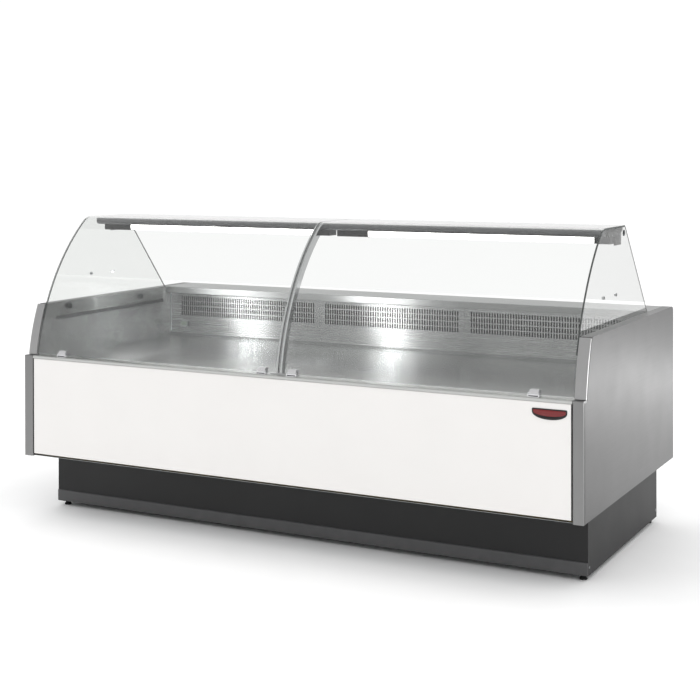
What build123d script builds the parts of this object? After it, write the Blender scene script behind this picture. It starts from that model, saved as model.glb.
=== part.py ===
from build123d import *
import os
from math import asin, cos, degrees, radians, sin

# A curved-glass refrigerated serve-over counter, in millimetres.
# X runs along the counter, Y from the customer side (-) to the server side (+) and Z up.
# The origin is on the floor under the middle of the counter.
# Depths in this file are measured back from the customer face, heights up from the floor.

# Overall sizes
overall_length = 2525.0
overall_depth = 1235.0
overall_height = 1280.0
worktop_height = 905.0
deck_height = 660.0
body_underside = 253.0
side_thickness = 42.5

# Sheet, glass and clearances
sheet = 1.2
panel_sheet = 1.5
glass = 6.0
fit_gap = 0.5
moving_gap = 1.5
running_gap = 0.05
rest_gap = 0.5

# Customer face: end posts, white panel and sill
post_depth = 10.0
post_corner = 8.0
cap_height = 8.0
cap_depth = 39.0
groove = 5.0
front_panel_setback = 4.0
front_panel_return = 12.0
front_panel_lift = 11.0
sill_height = deck_height + 30
sill_lip = 12.0
sill_depth = 58.0
sill_wall = 4.0

# Section of the curved front glass: a leaning bow, a tight knee and a flat top
foot_depth = 28.0
foot_height = sill_height - 5
foot_lean = radians(8)
shoulder_lean = radians(50)
knee_radius = 90.0
glass_foot = sill_height + 6
pane_joint = 4.0

# Side walls
trim_proud = 3.0
trim_thickness = 12.0
side_corner = 20.0

# End panes
pane_standoff = 2.0
pane_foot = worktop_height - 65
pane_clearance = 1.0
pane_rear = overall_depth - 253
pane_corner = 20.0
rail_height = 15.0
rail_seat = 5.0
rail_front = 170.0
knob_radius = 12.5
knob_length = 10.0
knob_places = ((242.0, pane_foot + 42), (pane_rear - 207, pane_foot + 36))
stud_radius = 4.0
buffer_places = ((395.0, pane_foot + 176), (555.0, pane_foot + 174))

# Canopy and lamps
canopy_lap = 27.0
canopy_depth = 229.0
canopy_height = 33.5
canopy_wall = 2.5
canopy_nose = 25.5
canopy_cap = 6.0
cap_front = 455.0
cap_step = 540.0
cap_rear = 620.0
lamp_front = 497.0
lamp_width = 62.0
lamp_height = 26.0
lamp_holder = 145.0
lamp_socket = 60.0
lamp_centre_gap = 20.0

# Centre post
post_width = 26.0
post_near = 8.0
post_far = 34.0
base_width = 80.0
base_plate = 4.0

# Front glass hinges
hinge_places = (70.0, 1072.0)
pin_radius = 3.0
axis_depth = 18.0
axis_height = sill_height + 9
knuckle = 6.5
clamp_width = 36.0
clamp_top = sill_height + 26
clamp_rear = 40.0
lug = 4.0
hinge_plate = 2.0

# Refrigerated tub
front_foam_rear = 45.0
floor_foam = 62.0
duct_front_from_rear = 189.0
duct_depth = 47.8
rear_foam = 55.0

# Back panels with their air slots
centre_panel = 743.0
slot_width = 6.0
slot_height = 20.0
slot_pitch = 12.5
row_pitch = 25.0
slot_top_below_worktop = 60.0
slot_clearance = 80.0
slot_seam_margin = 28.5
slot_end_margin = 62.0

# Deck
plate_count = 3
deck_lip = 12.0
deck_flange = 18.0
bearer_width = 30.0
bearer_height = 24.0

# Worktop and rear skin
worktop_front_from_rear = 235.0
worktop_flange = 30.0
rear_setback = 18.5

# Evaporator and fans under the deck
fan_shelf_from_duct = 446.0
fan_spacing = 600.0
fan_share = 0.316
fan_tip_gap = 3.0
fan_hub = 30.0
shaft_radius = 4.0
coil_from_duct = 326.0
coil_depth = 180.0
coil_length = 1800.0
coil_lift = 22.0
coil_headroom = 44.0

# Plinth, base frame and feet
plinth_front = 175.0
plinth_rear_from_rear = 122.0
plinth_inset = 40.0
plinth_foot = 21.0
kick_height = 48.0
kick_proud = 4.0
tube = 40.0
tube_wall = 3.0
tube_foot = 24.0
foot_radius = 15.0
foot_neck = 11.0
foot_pad = 12.0
foot_stud = 5.0
foot_inset = 28.0

# Condensing unit in the plinth
unit_x = -760.0
compressor_x = -330.0
condenser_from_plinth_rear = 128.0
condenser_depth = 60.0
condenser_width = 340.0
condenser_height = 150.0
condenser_tip = 68.0

# Server-side controls
control_x = 820.0
control_width = 220.0
control_height = 70.0
control_z = 820.0
rocker_width = 14.0
rocker_half = 12.0
rocker_swing = radians(16)
gland_x = -1000.0
gland_z = 300.0
gland_bore = 5.0

# Badge
badge_x_from_end = 127.0
badge_width = 132.0
badge_height = 39.0
badge_top = 654.0

os.makedirs("parts", exist_ok=True)

half_length = overall_length / 2
inner_half = half_length - side_thickness
duct_front = overall_depth - duct_front_from_rear
duct_rear = duct_front + sheet + duct_depth
worktop_front = overall_depth - worktop_front_from_rear
worktop_rear = overall_depth - rear_setback
plinth_rear = overall_depth - plinth_rear_from_rear
condenser_front = plinth_rear - condenser_from_plinth_rear
plinth_half = half_length - plinth_inset
liner_floor = body_underside + sheet + floor_foam
bearer_top = deck_height - sheet - rest_gap
bay_low = liner_floor + sheet
bay_top = bearer_top - bearer_height - 1
fan_height = (bay_low + bay_top) / 2
fan_tip = fan_share * (bay_top - bay_low)
fan_shelf_depth = duct_front - fan_shelf_from_duct
coil_front = duct_front - coil_from_duct
coil_base = bay_low + coil_lift
coil_height = bay_top - coil_headroom - coil_base
canopy_top = overall_height - glass - rest_gap
front_panel_top = sill_height - sill_lip - 1
canopy_half = inner_half - pane_standoff - glass - moving_gap - canopy_cap
sides = ((-1, "left"), (1, "right"))

# The bow's radius follows from the height it has to climb
bow_climb = overall_height - foot_height - knee_radius * (1 - sin(shoulder_lean))
bow_radius = bow_climb / (sin(shoulder_lean) - sin(foot_lean))
bow_centre = (foot_depth + bow_radius * cos(foot_lean), foot_height - bow_radius * sin(foot_lean))
knee_centre = (
    bow_centre[0] - (bow_radius - knee_radius) * cos(shoulder_lean),
    bow_centre[1] + (bow_radius - knee_radius) * sin(shoulder_lean),
)
canopy_front = knee_centre[0] + canopy_lap
canopy_rear = canopy_front + canopy_depth
disc_place = (canopy_rear - 15, overall_height - 30)


def write(builder, name):
    """Label a finished piece and export it under its name."""
    builder.part.label = name
    export_step(builder.part, f"parts/{name}.step")


def yz(depth, height):
    """Point of a Plane.YZ sketch at this depth and height."""
    return (depth - overall_depth / 2, height)


def facing(depth):
    """Plane at this depth, looking out to the customer side, with X to the right and Z up."""
    return Plane.XZ.offset(overall_depth / 2 - depth)


def slab(x_range, depth_range, height_range, mode=Mode.ADD):
    """Box between these limits, in the open part."""
    limits = (x_range, depth_range, height_range)
    size = [high - low for low, high in limits]
    middle = [(high + low) / 2 for low, high in limits]
    with Locations((middle[0], middle[1] - overall_depth / 2, middle[2])):
        Box(*size, mode=mode)


def lean_at(height, inset=0.0):
    """Lean from vertical where the bow, set in by inset, reaches this height."""
    return asin((height - bow_centre[1]) / (bow_radius - inset))


def bow_point(lean, inset):
    """Point of the bow, set in by inset from the glass's outer face."""
    reach = bow_radius - inset
    return yz(bow_centre[0] - reach * cos(lean), bow_centre[1] + reach * sin(lean))


def knee_point(lean, inset):
    """Point of the knee, set in by inset from the glass's outer face."""
    reach = knee_radius - inset
    return yz(knee_centre[0] - reach * cos(lean), knee_centre[1] + reach * sin(lean))


def bow_strip(near, far, lean_from, lean_to):
    """Face between two insets of the bow."""
    middle = (lean_from + lean_to) / 2
    with BuildSketch(mode=Mode.PRIVATE) as strip:
        with BuildLine():
            outer = ThreePointArc(*(bow_point(lean, near) for lean in (lean_from, middle, lean_to)))
            inner = ThreePointArc(*(bow_point(lean, far) for lean in (lean_from, middle, lean_to)))
            Line(outer @ 0, inner @ 0)
            Line(outer @ 1, inner @ 1)
        make_face()
    return strip.sketch


def glazing_section(near, far, foot, rear):
    """Face between two insets of the whole front glass line, from a foot height to a rear depth."""
    right_angle = radians(90)
    knee_middle = (shoulder_lean + right_angle) / 2
    with BuildSketch(mode=Mode.PRIVATE) as section:
        with BuildLine():
            feet = []
            tips = []
            for inset in (near, far):
                start = lean_at(foot, inset)
                bow_leans = (start, (start + shoulder_lean) / 2, shoulder_lean)
                knee_leans = (shoulder_lean, knee_middle, right_angle)
                bow = ThreePointArc(*(bow_point(lean, inset) for lean in bow_leans))
                knee = ThreePointArc(bow @ 1, *(knee_point(lean, inset) for lean in knee_leans[1:]))
                top = Line(knee @ 1, yz(rear, overall_height - inset))
                feet.append(bow @ 0)
                tips.append(top @ 1)
            Line(*feet)
            Line(*tips)
        make_face()
    return section.sketch


def extrusion(section, x_from, x_to):
    """Part made by running a section drawn in depth and height along X."""
    with BuildPart(mode=Mode.PRIVATE) as run:
        with BuildSketch(Plane.YZ.offset(x_from)):
            add(section)
        extrude(amount=x_to - x_from)
    return run.part


def polygon(*points):
    """Face with straight sides through points given as depth and height."""
    with BuildSketch(mode=Mode.PRIVATE) as outline:
        with BuildLine():
            Polyline(*(yz(*point) for point in points), close=True)
        make_face()
    return outline.sketch


def disc(depth, height, radius):
    """Round face in the depth and height plane."""
    with BuildSketch(mode=Mode.PRIVATE) as outline:
        with Locations(yz(depth, height)):
            Circle(radius)
    return outline.sketch


# Side walls

panel_inset = trim_thickness - trim_proud + groove
panel_front = post_depth + groove
cap_foot = sill_height - cap_height


def side_outline():
    """Outline of a side wall: straight below, following the glass above, flat on top."""
    low = lean_at(cap_foot - fit_gap, panel_inset)
    high = lean_at(worktop_height, panel_inset)
    with BuildSketch(mode=Mode.PRIVATE) as outline:
        with BuildLine():
            leans = (low, (low + high) / 2, high)
            curve = ThreePointArc(*(bow_point(lean, panel_inset) for lean in leans))
            Polyline(
                curve @ 0,
                yz(panel_front, cap_foot - fit_gap),
                yz(panel_front, body_underside),
                yz(overall_depth, body_underside),
                yz(overall_depth, worktop_height),
                curve @ 1,
            )
        make_face()
        rear_top = outline.vertices().sort_by(Axis.Y)[-2:].sort_by(Axis.X)[-1:]
        fillet(rear_top, radius=side_corner)
    return outline.sketch


wall_outline = side_outline()
with BuildSketch(mode=Mode.PRIVATE) as core_sketch:
    add(wall_outline)
    offset(amount=-panel_sheet, kind=Kind.INTERSECTION, mode=Mode.REPLACE)
core_outline = core_sketch.sketch

liner_half = inner_half + sheet
core_half = half_length - panel_sheet

for side, word in sides:
    with BuildPart() as side_panel:
        add(extrusion(wall_outline, side * liner_half, side * half_length))
        add(extrusion(core_outline, side * liner_half, side * core_half), mode=Mode.SUBTRACT)
    write(side_panel, f"side_panel_{word}")

    trim_foot = lean_at(sill_height, trim_thickness - trim_proud)
    trim_head = lean_at(worktop_height, -trim_proud)
    trim_section = bow_strip(-trim_proud, trim_thickness - trim_proud, trim_foot, trim_head)
    with BuildPart() as side_trim:
        add(extrusion(trim_section, side * inner_half, side * half_length))
        long_edges = side_trim.edges().filter_by(GeomType.CIRCLE).group_by(Axis.Y)[0]
        fillet(long_edges, radius=2)
    write(side_trim, f"side_trim_{word}")

    across = sorted((side * inner_half, side * half_length))
    with BuildPart() as end_post:
        slab(across, (0, post_depth), (body_underside, cap_foot))
        front_edges = end_post.edges().filter_by(Axis.Z).group_by(Axis.Y)[0].sort_by(Axis.X)
        inner_edge = front_edges[0] if side > 0 else front_edges[-1]
        fillet(inner_edge, radius=post_corner)
        slab(across, (0, cap_depth), (cap_foot, sill_height))
        nose = end_post.edges().filter_by(Axis.X).group_by(Axis.Z)[-1].sort_by(Axis.Y)[0]
        fillet(nose, radius=2.5)
    write(end_post, f"end_post_{word}")

with BuildPart() as side_liners:
    for side, word in sides:
        add(extrusion(wall_outline, side * inner_half, side * liner_half))
write(side_liners, "side_liners")

# White customer panel, its badge and the sill

panel_half = inner_half - fit_gap
panel_low = body_underside + front_panel_lift
with BuildPart() as front_panel:
    panel_rear = front_panel_setback + front_panel_return
    slab((-panel_half, panel_half), (front_panel_setback, panel_rear), (panel_low, front_panel_top))
    fillet(front_panel.faces().sort_by(Axis.Y)[0].edges(), radius=2.5)
    inside = panel_half - panel_sheet
    slab(
        (-inside, inside),
        (front_panel_setback + panel_sheet, panel_rear),
        (panel_low + panel_sheet, front_panel_top - panel_sheet),
        mode=Mode.SUBTRACT,
    )
write(front_panel, "front_panel")

badge_x = half_length - badge_x_from_end
with BuildPart() as badge:
    with BuildSketch(facing(front_panel_setback)) as badge_face:
        badge_left = badge_x - badge_width / 2
        badge_right = badge_x + badge_width / 2
        badge_ends = badge_top - badge_height * 0.3
        with BuildLine():
            Polyline(
                (badge_left, badge_ends),
                (badge_left, badge_top),
                (badge_right, badge_top),
                (badge_right, badge_ends),
            )
            ThreePointArc(
                (badge_right, badge_ends),
                (badge_x, badge_top - badge_height),
                (badge_left, badge_ends),
            )
        make_face()
        fillet(badge_face.vertices(), radius=4)
    extrude(amount=2.5)
    fillet(badge.faces().sort_by(Axis.Y)[0].edges(), radius=0.8)
write(badge, "badge")

sill_front = front_panel_setback - 2
sill_foot = deck_height - sheet
with BuildPart() as sill:
    inner = sill_height - sill_wall
    lip = sill_height - sill_lip
    with BuildSketch(Plane.YZ.offset(-(inner_half - fit_gap))) as sill_section:
        add(
            polygon(
                (sill_front, lip),
                (sill_front, sill_height),
                (sill_depth, sill_height),
                (sill_depth, sill_foot),
                (sill_depth - 2, sill_foot),
                (sill_depth - 2, inner),
                (sill_front + sill_wall, inner),
                (sill_front + sill_wall, lip),
            )
        )
        top_corners = sill_section.vertices().group_by(Axis.Y)[-1]
        fillet(top_corners, radius=3)
    extrude(amount=2 * (inner_half - fit_gap))
write(sill, "sill")

# Insulated tub: foam, inner liner and rear skin

with BuildPart() as insulation:
    for side, word in sides:
        add(extrusion(core_outline, side * liner_half, side * core_half))
    foam_half = inner_half - fit_gap - panel_sheet - 1
    foam_low = panel_low + panel_sheet + fit_gap
    foam_top = front_panel_top - panel_sheet - fit_gap
    slab((-foam_half, foam_half), (front_panel_setback + panel_sheet, front_foam_rear), (foam_low, foam_top))
    floor_low = body_underside + panel_sheet
    wide = inner_half - fit_gap
    slab((-wide, wide), (front_foam_rear + fit_gap, duct_rear - fit_gap), (floor_low, liner_floor))
    rear_top = worktop_height - worktop_flange - 1
    slab((-wide, wide), (duct_rear, duct_rear + rear_foam), (floor_low, rear_top))
write(insulation, "insulation")

liner_front_top = sill_height - sill_wall - fit_gap
with BuildPart() as tub_liner:
    section = polygon(
        (front_foam_rear, liner_floor),
        (duct_rear, liner_floor),
        (duct_rear, rear_top),
        (duct_rear - sheet, rear_top),
        (duct_rear - sheet, liner_floor + sheet),
        (front_foam_rear + sheet, liner_floor + sheet),
        (front_foam_rear + sheet, liner_front_top),
        (front_foam_rear, liner_front_top),
    )
    add(extrusion(section, -wide, wide))
write(tub_liner, "tub_liner")

skin_top = worktop_height - panel_sheet
skin_rear = worktop_rear - panel_sheet
with BuildPart() as rear_panel:
    slab((-wide, wide), (skin_rear - panel_sheet, skin_rear), (body_underside, skin_top))
    skin_front = panel_rear + fit_gap
    skin_joint = skin_rear - panel_sheet - 0.2
    slab((-wide, wide), (skin_front, skin_joint), (body_underside, body_underside + panel_sheet))
    control_middle = (control_x, control_z)
    with BuildSketch(facing(skin_rear)):
        with Locations(control_middle):
            Rectangle(control_width - 30, control_height - 30)
        with Locations((gland_x, gland_z)):
            Circle(gland_bore + 4)
    extrude(amount=panel_sheet, mode=Mode.SUBTRACT)
write(rear_panel, "rear_panel")

# Back panels with air slots

seam_half = centre_panel / 2
back_low = deck_height - 1
slot_top = worktop_height - slot_top_below_worktop
slot_rows = max(1, int((slot_top - deck_height - slot_clearance) // row_pitch))
slot_field = slot_rows * row_pitch
panel_spans = (
    ("left", -(inner_half - fit_gap), -(seam_half + fit_gap), slot_end_margin, slot_seam_margin),
    ("centre", -(seam_half - fit_gap), seam_half - fit_gap, slot_seam_margin, slot_seam_margin),
    ("right", seam_half + fit_gap, inner_half - fit_gap, slot_seam_margin, slot_end_margin),
)
for word, x_from, x_to, left_margin, right_margin in panel_spans:
    field_from = x_from + left_margin
    field_to = x_to - right_margin
    slots = int((field_to - field_from - slot_width) // slot_pitch) + 1
    with BuildPart() as back_panel:
        with BuildSketch(facing(duct_front)):
            with Locations(((x_from + x_to) / 2, (back_low + skin_top) / 2)):
                Rectangle(x_to - x_from, skin_top - back_low)
            with Locations(((field_from + field_to) / 2, slot_top + row_pitch / 2 - slot_field / 2)):
                with GridLocations(slot_pitch, row_pitch, slots, slot_rows):
                    Rectangle(slot_width, slot_height, mode=Mode.SUBTRACT)
        extrude(amount=-sheet)
    write(back_panel, f"back_panel_{word}")

# Deck plates on their bearers

deck_half = inner_half - 1
plate_length = 2 * deck_half / plate_count
deck_front = sill_depth + moving_gap
deck_rear = duct_front - moving_gap
plate_words = ("left", "centre", "right")
for index, word in enumerate(plate_words):
    x_from = -deck_half + index * plate_length + moving_gap / 2
    x_to = x_from + plate_length - moving_gap
    with BuildPart() as deck_plate:
        slab((x_from, x_to), (deck_front, deck_rear), (deck_height - sheet, deck_height))
        slab((x_from, x_to), (deck_rear - sheet, deck_rear), (deck_height - sheet, deck_height + deck_lip))
        clear = bearer_width + 5
        flange = (x_from + clear, x_to - clear)
        slab(flange, (deck_front, deck_front + sheet), (deck_height - deck_flange, deck_height))
        slab(flange, (deck_rear - sheet, deck_rear), (deck_height - deck_flange, deck_height))
    write(deck_plate, f"deck_plate_{word}")

with BuildPart() as deck_bearers:
    ends = deck_half - bearer_width / 2 - 1
    places = [-ends] + [-deck_half + k * plate_length for k in range(1, plate_count)] + [ends]
    for x in places:
        across = (x - bearer_width / 2, x + bearer_width / 2)
        along = (front_foam_rear + sheet, duct_rear - sheet)
        slab(across, along, (bearer_top - bearer_height, bearer_top))
        hollow = (across[0] + 2, across[1] - 2)
        slab(hollow, along, (bearer_top - bearer_height, bearer_top - 2), mode=Mode.SUBTRACT)
write(deck_bearers, "deck_bearers")

# Server worktop

with BuildPart() as rear_worktop:
    low = worktop_height - worktop_flange
    with BuildSketch(Plane.YZ.offset(-wide)) as worktop_section:
        add(
            polygon(
                (worktop_front, low),
                (worktop_front, worktop_height),
                (worktop_rear, worktop_height),
                (worktop_rear, low),
                (worktop_rear - panel_sheet, low),
                (worktop_rear - panel_sheet, skin_top),
                (worktop_front + panel_sheet, skin_top),
                (worktop_front + panel_sheet, low + panel_sheet),
                (worktop_front + 15, low + panel_sheet),
                (worktop_front + 15, low),
            )
        )
        fillet(worktop_section.vertices().group_by(Axis.Y)[-1], radius=2.5)
    extrude(amount=2 * wide)
write(rear_worktop, "rear_worktop")

# Canopy, its end caps and lamps

canopy_foot = canopy_top - canopy_height
nose_foot = canopy_top - canopy_nose
canopy_outline = polygon(
    (canopy_front, canopy_top),
    (canopy_rear, canopy_top),
    (canopy_rear, canopy_top - 11),
    (cap_rear, canopy_foot),
    (canopy_front + 9, canopy_foot),
    (canopy_front, nose_foot),
)
with BuildPart() as canopy:
    with BuildSketch(Plane.YZ.offset(-canopy_half)):
        add(canopy_outline)
        offset(amount=-canopy_wall, kind=Kind.INTERSECTION, mode=Mode.SUBTRACT)
    extrude(amount=2 * canopy_half)
write(canopy, "canopy")

lamp_foot = canopy_foot - lamp_height
cap_shape = polygon(
    (cap_front, canopy_foot),
    (cap_front, canopy_top - 11),
    (cap_rear, canopy_top - 11),
    (cap_rear, lamp_foot - 8),
    (cap_step, lamp_foot - 8),
    (cap_step, canopy_foot),
)
for side, word in sides:
    with BuildPart() as end_cap:
        add(extrusion(cap_shape, side * canopy_half, side * (canopy_half + canopy_cap)))
        outer_face = end_cap.faces().sort_by(Axis.X)[-1 if side > 0 else 0]
        fillet(outer_face.edges(), radius=1.5)
    write(end_cap, f"canopy_end_cap_{word}")

lamp_rear = lamp_front + lamp_width
lamp_runs = (("left", -canopy_half, -lamp_centre_gap), ("right", lamp_centre_gap, canopy_half))
with BuildPart() as lamp_holders:
    for word, x_from, x_to in lamp_runs:
        slab((x_from, x_from + lamp_holder), (lamp_front - 6, lamp_rear), (lamp_foot - 2, canopy_foot))
        slab((x_to - lamp_socket, x_to), (lamp_front - 2, lamp_rear), (lamp_foot - 1, canopy_foot))
    fillet(lamp_holders.edges().filter_by(Axis.X).group_by(Axis.Z)[0], radius=4)
write(lamp_holders, "lamp_holders")

for word, x_from, x_to in lamp_runs:
    with BuildPart() as lamp:
        with BuildSketch(Plane.YZ.offset(x_from + lamp_holder)) as lamp_section:
            with Locations(yz((lamp_front + lamp_rear) / 2, (lamp_foot + canopy_foot) / 2)):
                Rectangle(lamp_width, lamp_height)
            fillet(lamp_section.vertices().group_by(Axis.Y)[0], radius=10)
        extrude(amount=x_to - lamp_socket - x_from - lamp_holder)
    write(lamp, f"lamp_{word}")

# Centre post behind the joint of the two front panes

base_top = sill_height + base_plate
with BuildPart() as centre_post:
    post_section = glazing_section(post_near, post_far, base_top, canopy_front)
    add(extrusion(post_section, -post_width / 2, post_width / 2))
    base_front = foot_depth + post_near
    slab((-base_width / 2, base_width / 2), (base_front, sill_depth), (sill_height, base_top))
write(centre_post, "centre_post")

# Curved front glass and its hinges

glass_section = glazing_section(0, glass, glass_foot, canopy_rear)
clamp_block = polygon(
    (axis_depth, axis_height - knuckle + 0.5),
    (clamp_rear, axis_height - knuckle + 0.5),
    (clamp_rear, clamp_top),
    (axis_depth + 4, clamp_top),
    (axis_depth - 4, axis_height + knuckle - 1),
)
for side, word in sides:
    x_limits = sorted((side * pane_joint / 2, side * (inner_half - moving_gap)))
    with BuildPart() as front_glass:
        add(extrusion(glass_section, *x_limits))
    write(front_glass, f"front_glass_{word}")

    with BuildPart() as clamps:
        for place in hinge_places:
            x_from = side * place - clamp_width / 2
            x_to = x_from + clamp_width
            add(extrusion(clamp_block, x_from, x_to))
            add(extrusion(disc(axis_depth, axis_height, knuckle), x_from, x_to))
            bore = disc(axis_depth, axis_height, pin_radius + running_gap)
            add(extrusion(bore, x_from, x_to), mode=Mode.SUBTRACT)
            add(extrusion(glass_section, x_from, x_to), mode=Mode.SUBTRACT)
    write(clamps, f"glass_clamps_{word}")

hinge_xs = sorted(side * place for side, word in sides for place in hinge_places)
lug_from = clamp_width / 2 + fit_gap
lug_to = lug_from + lug
with BuildPart() as hinge_bases:
    plate_top = sill_height + hinge_plate
    for x in hinge_xs:
        slab((x - lug_to, x + lug_to), (axis_depth - 10, clamp_rear), (sill_height, plate_top))
        for hand in (-1, 1):
            limits = sorted((x + hand * lug_from, x + hand * lug_to))
            upright = polygon(
                (axis_depth - knuckle, plate_top),
                (axis_depth + knuckle, plate_top),
                (axis_depth + knuckle, axis_height),
                (axis_depth - knuckle, axis_height),
            )
            add(extrusion(upright, *limits))
            add(extrusion(disc(axis_depth, axis_height, knuckle), *limits))
            add(extrusion(disc(axis_depth, axis_height, pin_radius), *limits), mode=Mode.SUBTRACT)
write(hinge_bases, "hinge_bases")

with BuildPart() as hinge_pins:
    for x in hinge_xs:
        add(extrusion(disc(axis_depth, axis_height, pin_radius), x - lug_to, x + lug_to))
write(hinge_pins, "hinge_pins")

# End panes with their rails and fixings

pane_outer = inner_half - pane_standoff
pane_inner = pane_outer - glass
pane_inset = glass + pane_clearance


def pane_outline():
    """Outline of an end pane: the glass line in front, a straight raked edge behind."""
    right_angle = radians(90)
    start = lean_at(pane_foot, pane_inset)
    with BuildSketch(mode=Mode.PRIVATE) as outline:
        with BuildLine():
            leans = (start, (start + shoulder_lean) / 2, shoulder_lean)
            bow = ThreePointArc(*(bow_point(lean, pane_inset) for lean in leans))
            knee_leans = ((shoulder_lean + right_angle) / 2, right_angle)
            knee = ThreePointArc(bow @ 1, *(knee_point(lean, pane_inset) for lean in knee_leans))
            Polyline(
                knee @ 1,
                yz(canopy_rear + 8, overall_height - pane_inset),
                yz(pane_rear, worktop_height),
                yz(pane_rear, pane_foot),
                bow @ 0,
            )
        make_face()
        rear_foot = outline.vertices().group_by(Axis.Y)[0].sort_by(Axis.X)[-1:]
        fillet(rear_foot, radius=pane_corner)
        with Locations(*(yz(*place) for place in knob_places), yz(*disc_place)):
            Circle(stud_radius, mode=Mode.SUBTRACT)
    return outline.sketch


pane_shape = pane_outline()
for side, word in sides:
    with BuildPart() as end_pane:
        add(extrusion(pane_shape, side * pane_inner, side * pane_outer))
    write(end_pane, f"end_pane_{word}")

with BuildPart() as pane_rails:
    for side, word in sides:
        rail_low = pane_foot - rail_height + rail_seat
        rail_limits = (rail_front, pane_rear - pane_corner)
        rail_across = sorted((side * (pane_inner - 3), side * inner_half))
        slab(rail_across, rail_limits, (rail_low, pane_foot + rail_seat))
        slot = sorted((side * pane_inner, side * pane_outer))
        slab(slot, rail_limits, (pane_foot, pane_foot + rail_seat), mode=Mode.SUBTRACT)
write(pane_rails, "pane_rails")

with BuildPart() as pane_fixings:
    for side, word in sides:
        knob_end = side * (pane_inner - knob_length)
        for place in knob_places:
            add(extrusion(disc(*place, knob_radius), knob_end, side * pane_inner))
            add(extrusion(disc(*place, stud_radius), side * pane_inner, side * inner_half))
        for place in buffer_places:
            add(extrusion(disc(*place, knob_radius / 2), knob_end, side * pane_inner))
        add(extrusion(disc(*disc_place, knob_radius), side * pane_outer, side * (pane_outer + 3)))
        add(extrusion(disc(*disc_place, stud_radius), side * canopy_half, side * pane_outer))
write(pane_fixings, "pane_fixings")

# Thermometer on the left back panel

thermometer_x = -(inner_half - 82)
with BuildPart() as thermometer:
    thermometer_low = deck_height + 42
    slab(
        (thermometer_x - 20, thermometer_x + 20),
        (duct_front - 9, duct_front),
        (thermometer_low, thermometer_low + 33),
    )
    fillet(thermometer.edges().filter_by(Axis.Y), radius=3)
    window = (thermometer_x - 15, thermometer_x + 15)
    window_z = (thermometer_low + 9, thermometer_low + 27)
    slab(window, (duct_front - 9, duct_front - 8), window_z, mode=Mode.SUBTRACT)
write(thermometer, "thermometer")

# Fans and their motors


def blades(x, depth, height, tip, count):
    """Tilted blades of an axial fan wheel, in the open part."""
    root = fan_hub - 3
    for index in range(count):
        angle = 360 * index / count
        middle = (tip + root) / 2 - 1
        across = middle * cos(radians(angle))
        down = middle * sin(radians(angle))
        place = Location((x + across, depth - overall_depth / 2, height - down), (0, angle, 0))
        with Locations(place * Rotation(25, 0, 0)):
            Box(tip - root - 2, 2, tip * 0.42)


def fan_wheel(x, depth, height, tip):
    """Axial fan wheel turning about Y, with a bored hub."""
    with BuildPart(mode=Mode.PRIVATE) as wheel:
        with BuildSketch(facing(depth - 15)):
            with Locations((x, height)):
                Circle(fan_hub)
        extrude(amount=-30)
        blades(x, depth, height, tip, 5)
        with BuildSketch(facing(depth - 15)):
            with Locations((x, height)):
                Circle(shaft_radius + running_gap)
        extrude(amount=-30, mode=Mode.SUBTRACT)
    return wheel.part


def fan_motor(x, depth, height, tip, face):
    """Motor behind a fan wheel, on a spider whose ring stands on the plate's rear face."""
    with BuildPart(mode=Mode.PRIVATE) as motor:
        front = depth + 40
        with BuildSketch(facing(front)):
            with Locations((x, height)):
                Circle(fan_hub + 4)
        extrude(amount=-45)
        with BuildSketch(facing(depth - 15)):
            with Locations((x, height)):
                Circle(shaft_radius)
        extrude(amount=-(front - depth + 20))
        with BuildSketch(facing(face)):
            with Locations((x, height)):
                Circle(tip + 16)
                Circle(tip + 6, mode=Mode.SUBTRACT)
        extrude(amount=-5)
        for index in range(3):
            angle = 90 + 120 * index
            direction = (cos(radians(angle)), -sin(radians(angle)))
            inner = fan_hub + 2
            outer = tip + 11
            middle = (inner + outer) / 2
            spot = (x + middle * direction[0], front + 6 - overall_depth / 2, height + middle * direction[1])
            with Locations(Location(spot, (0, angle, 0))):
                Box(outer - inner, 6, 8)
            reach = front + 9 - face
            post = (
                x + outer * direction[0],
                face + reach / 2 - overall_depth / 2,
                height + outer * direction[1],
            )
            with Locations(Location(post, (0, angle, 0))):
                Box(8, reach, 8)
    return motor.part


fan_hole = fan_tip + fan_tip_gap
with BuildPart() as fan_shelf:
    with BuildSketch(facing(fan_shelf_depth)):
        with Locations((0, (bay_low + bay_top) / 2)):
            Rectangle(2 * (wide - 1), bay_top - bay_low)
        for place in (-fan_spacing, 0, fan_spacing):
            with Locations((place, fan_height)):
                Circle(fan_hole, mode=Mode.SUBTRACT)
    extrude(amount=-sheet)
write(fan_shelf, "fan_shelf")

fan_words = ("left", "centre", "right")
for index, word in enumerate(fan_words):
    with BuildPart() as wheel:
        add(fan_wheel((index - 1) * fan_spacing, fan_shelf_depth, fan_height, fan_tip))
    write(wheel, f"evaporator_fan_{word}")

unit_floor = tube_foot + tube + 2
condenser_low = unit_floor + 6
condenser_z = condenser_low + condenser_height / 2
shroud_depth = condenser_front - 12
wheel_depth = shroud_depth - 4
with BuildPart() as fan_motors:
    for index in range(3):
        place = (index - 1) * fan_spacing
        add(fan_motor(place, fan_shelf_depth, fan_height, fan_tip, fan_shelf_depth + sheet))
write(fan_motors, "fan_motors")

# Evaporator: fins on round tubes between end plates that stand on the liner


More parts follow.
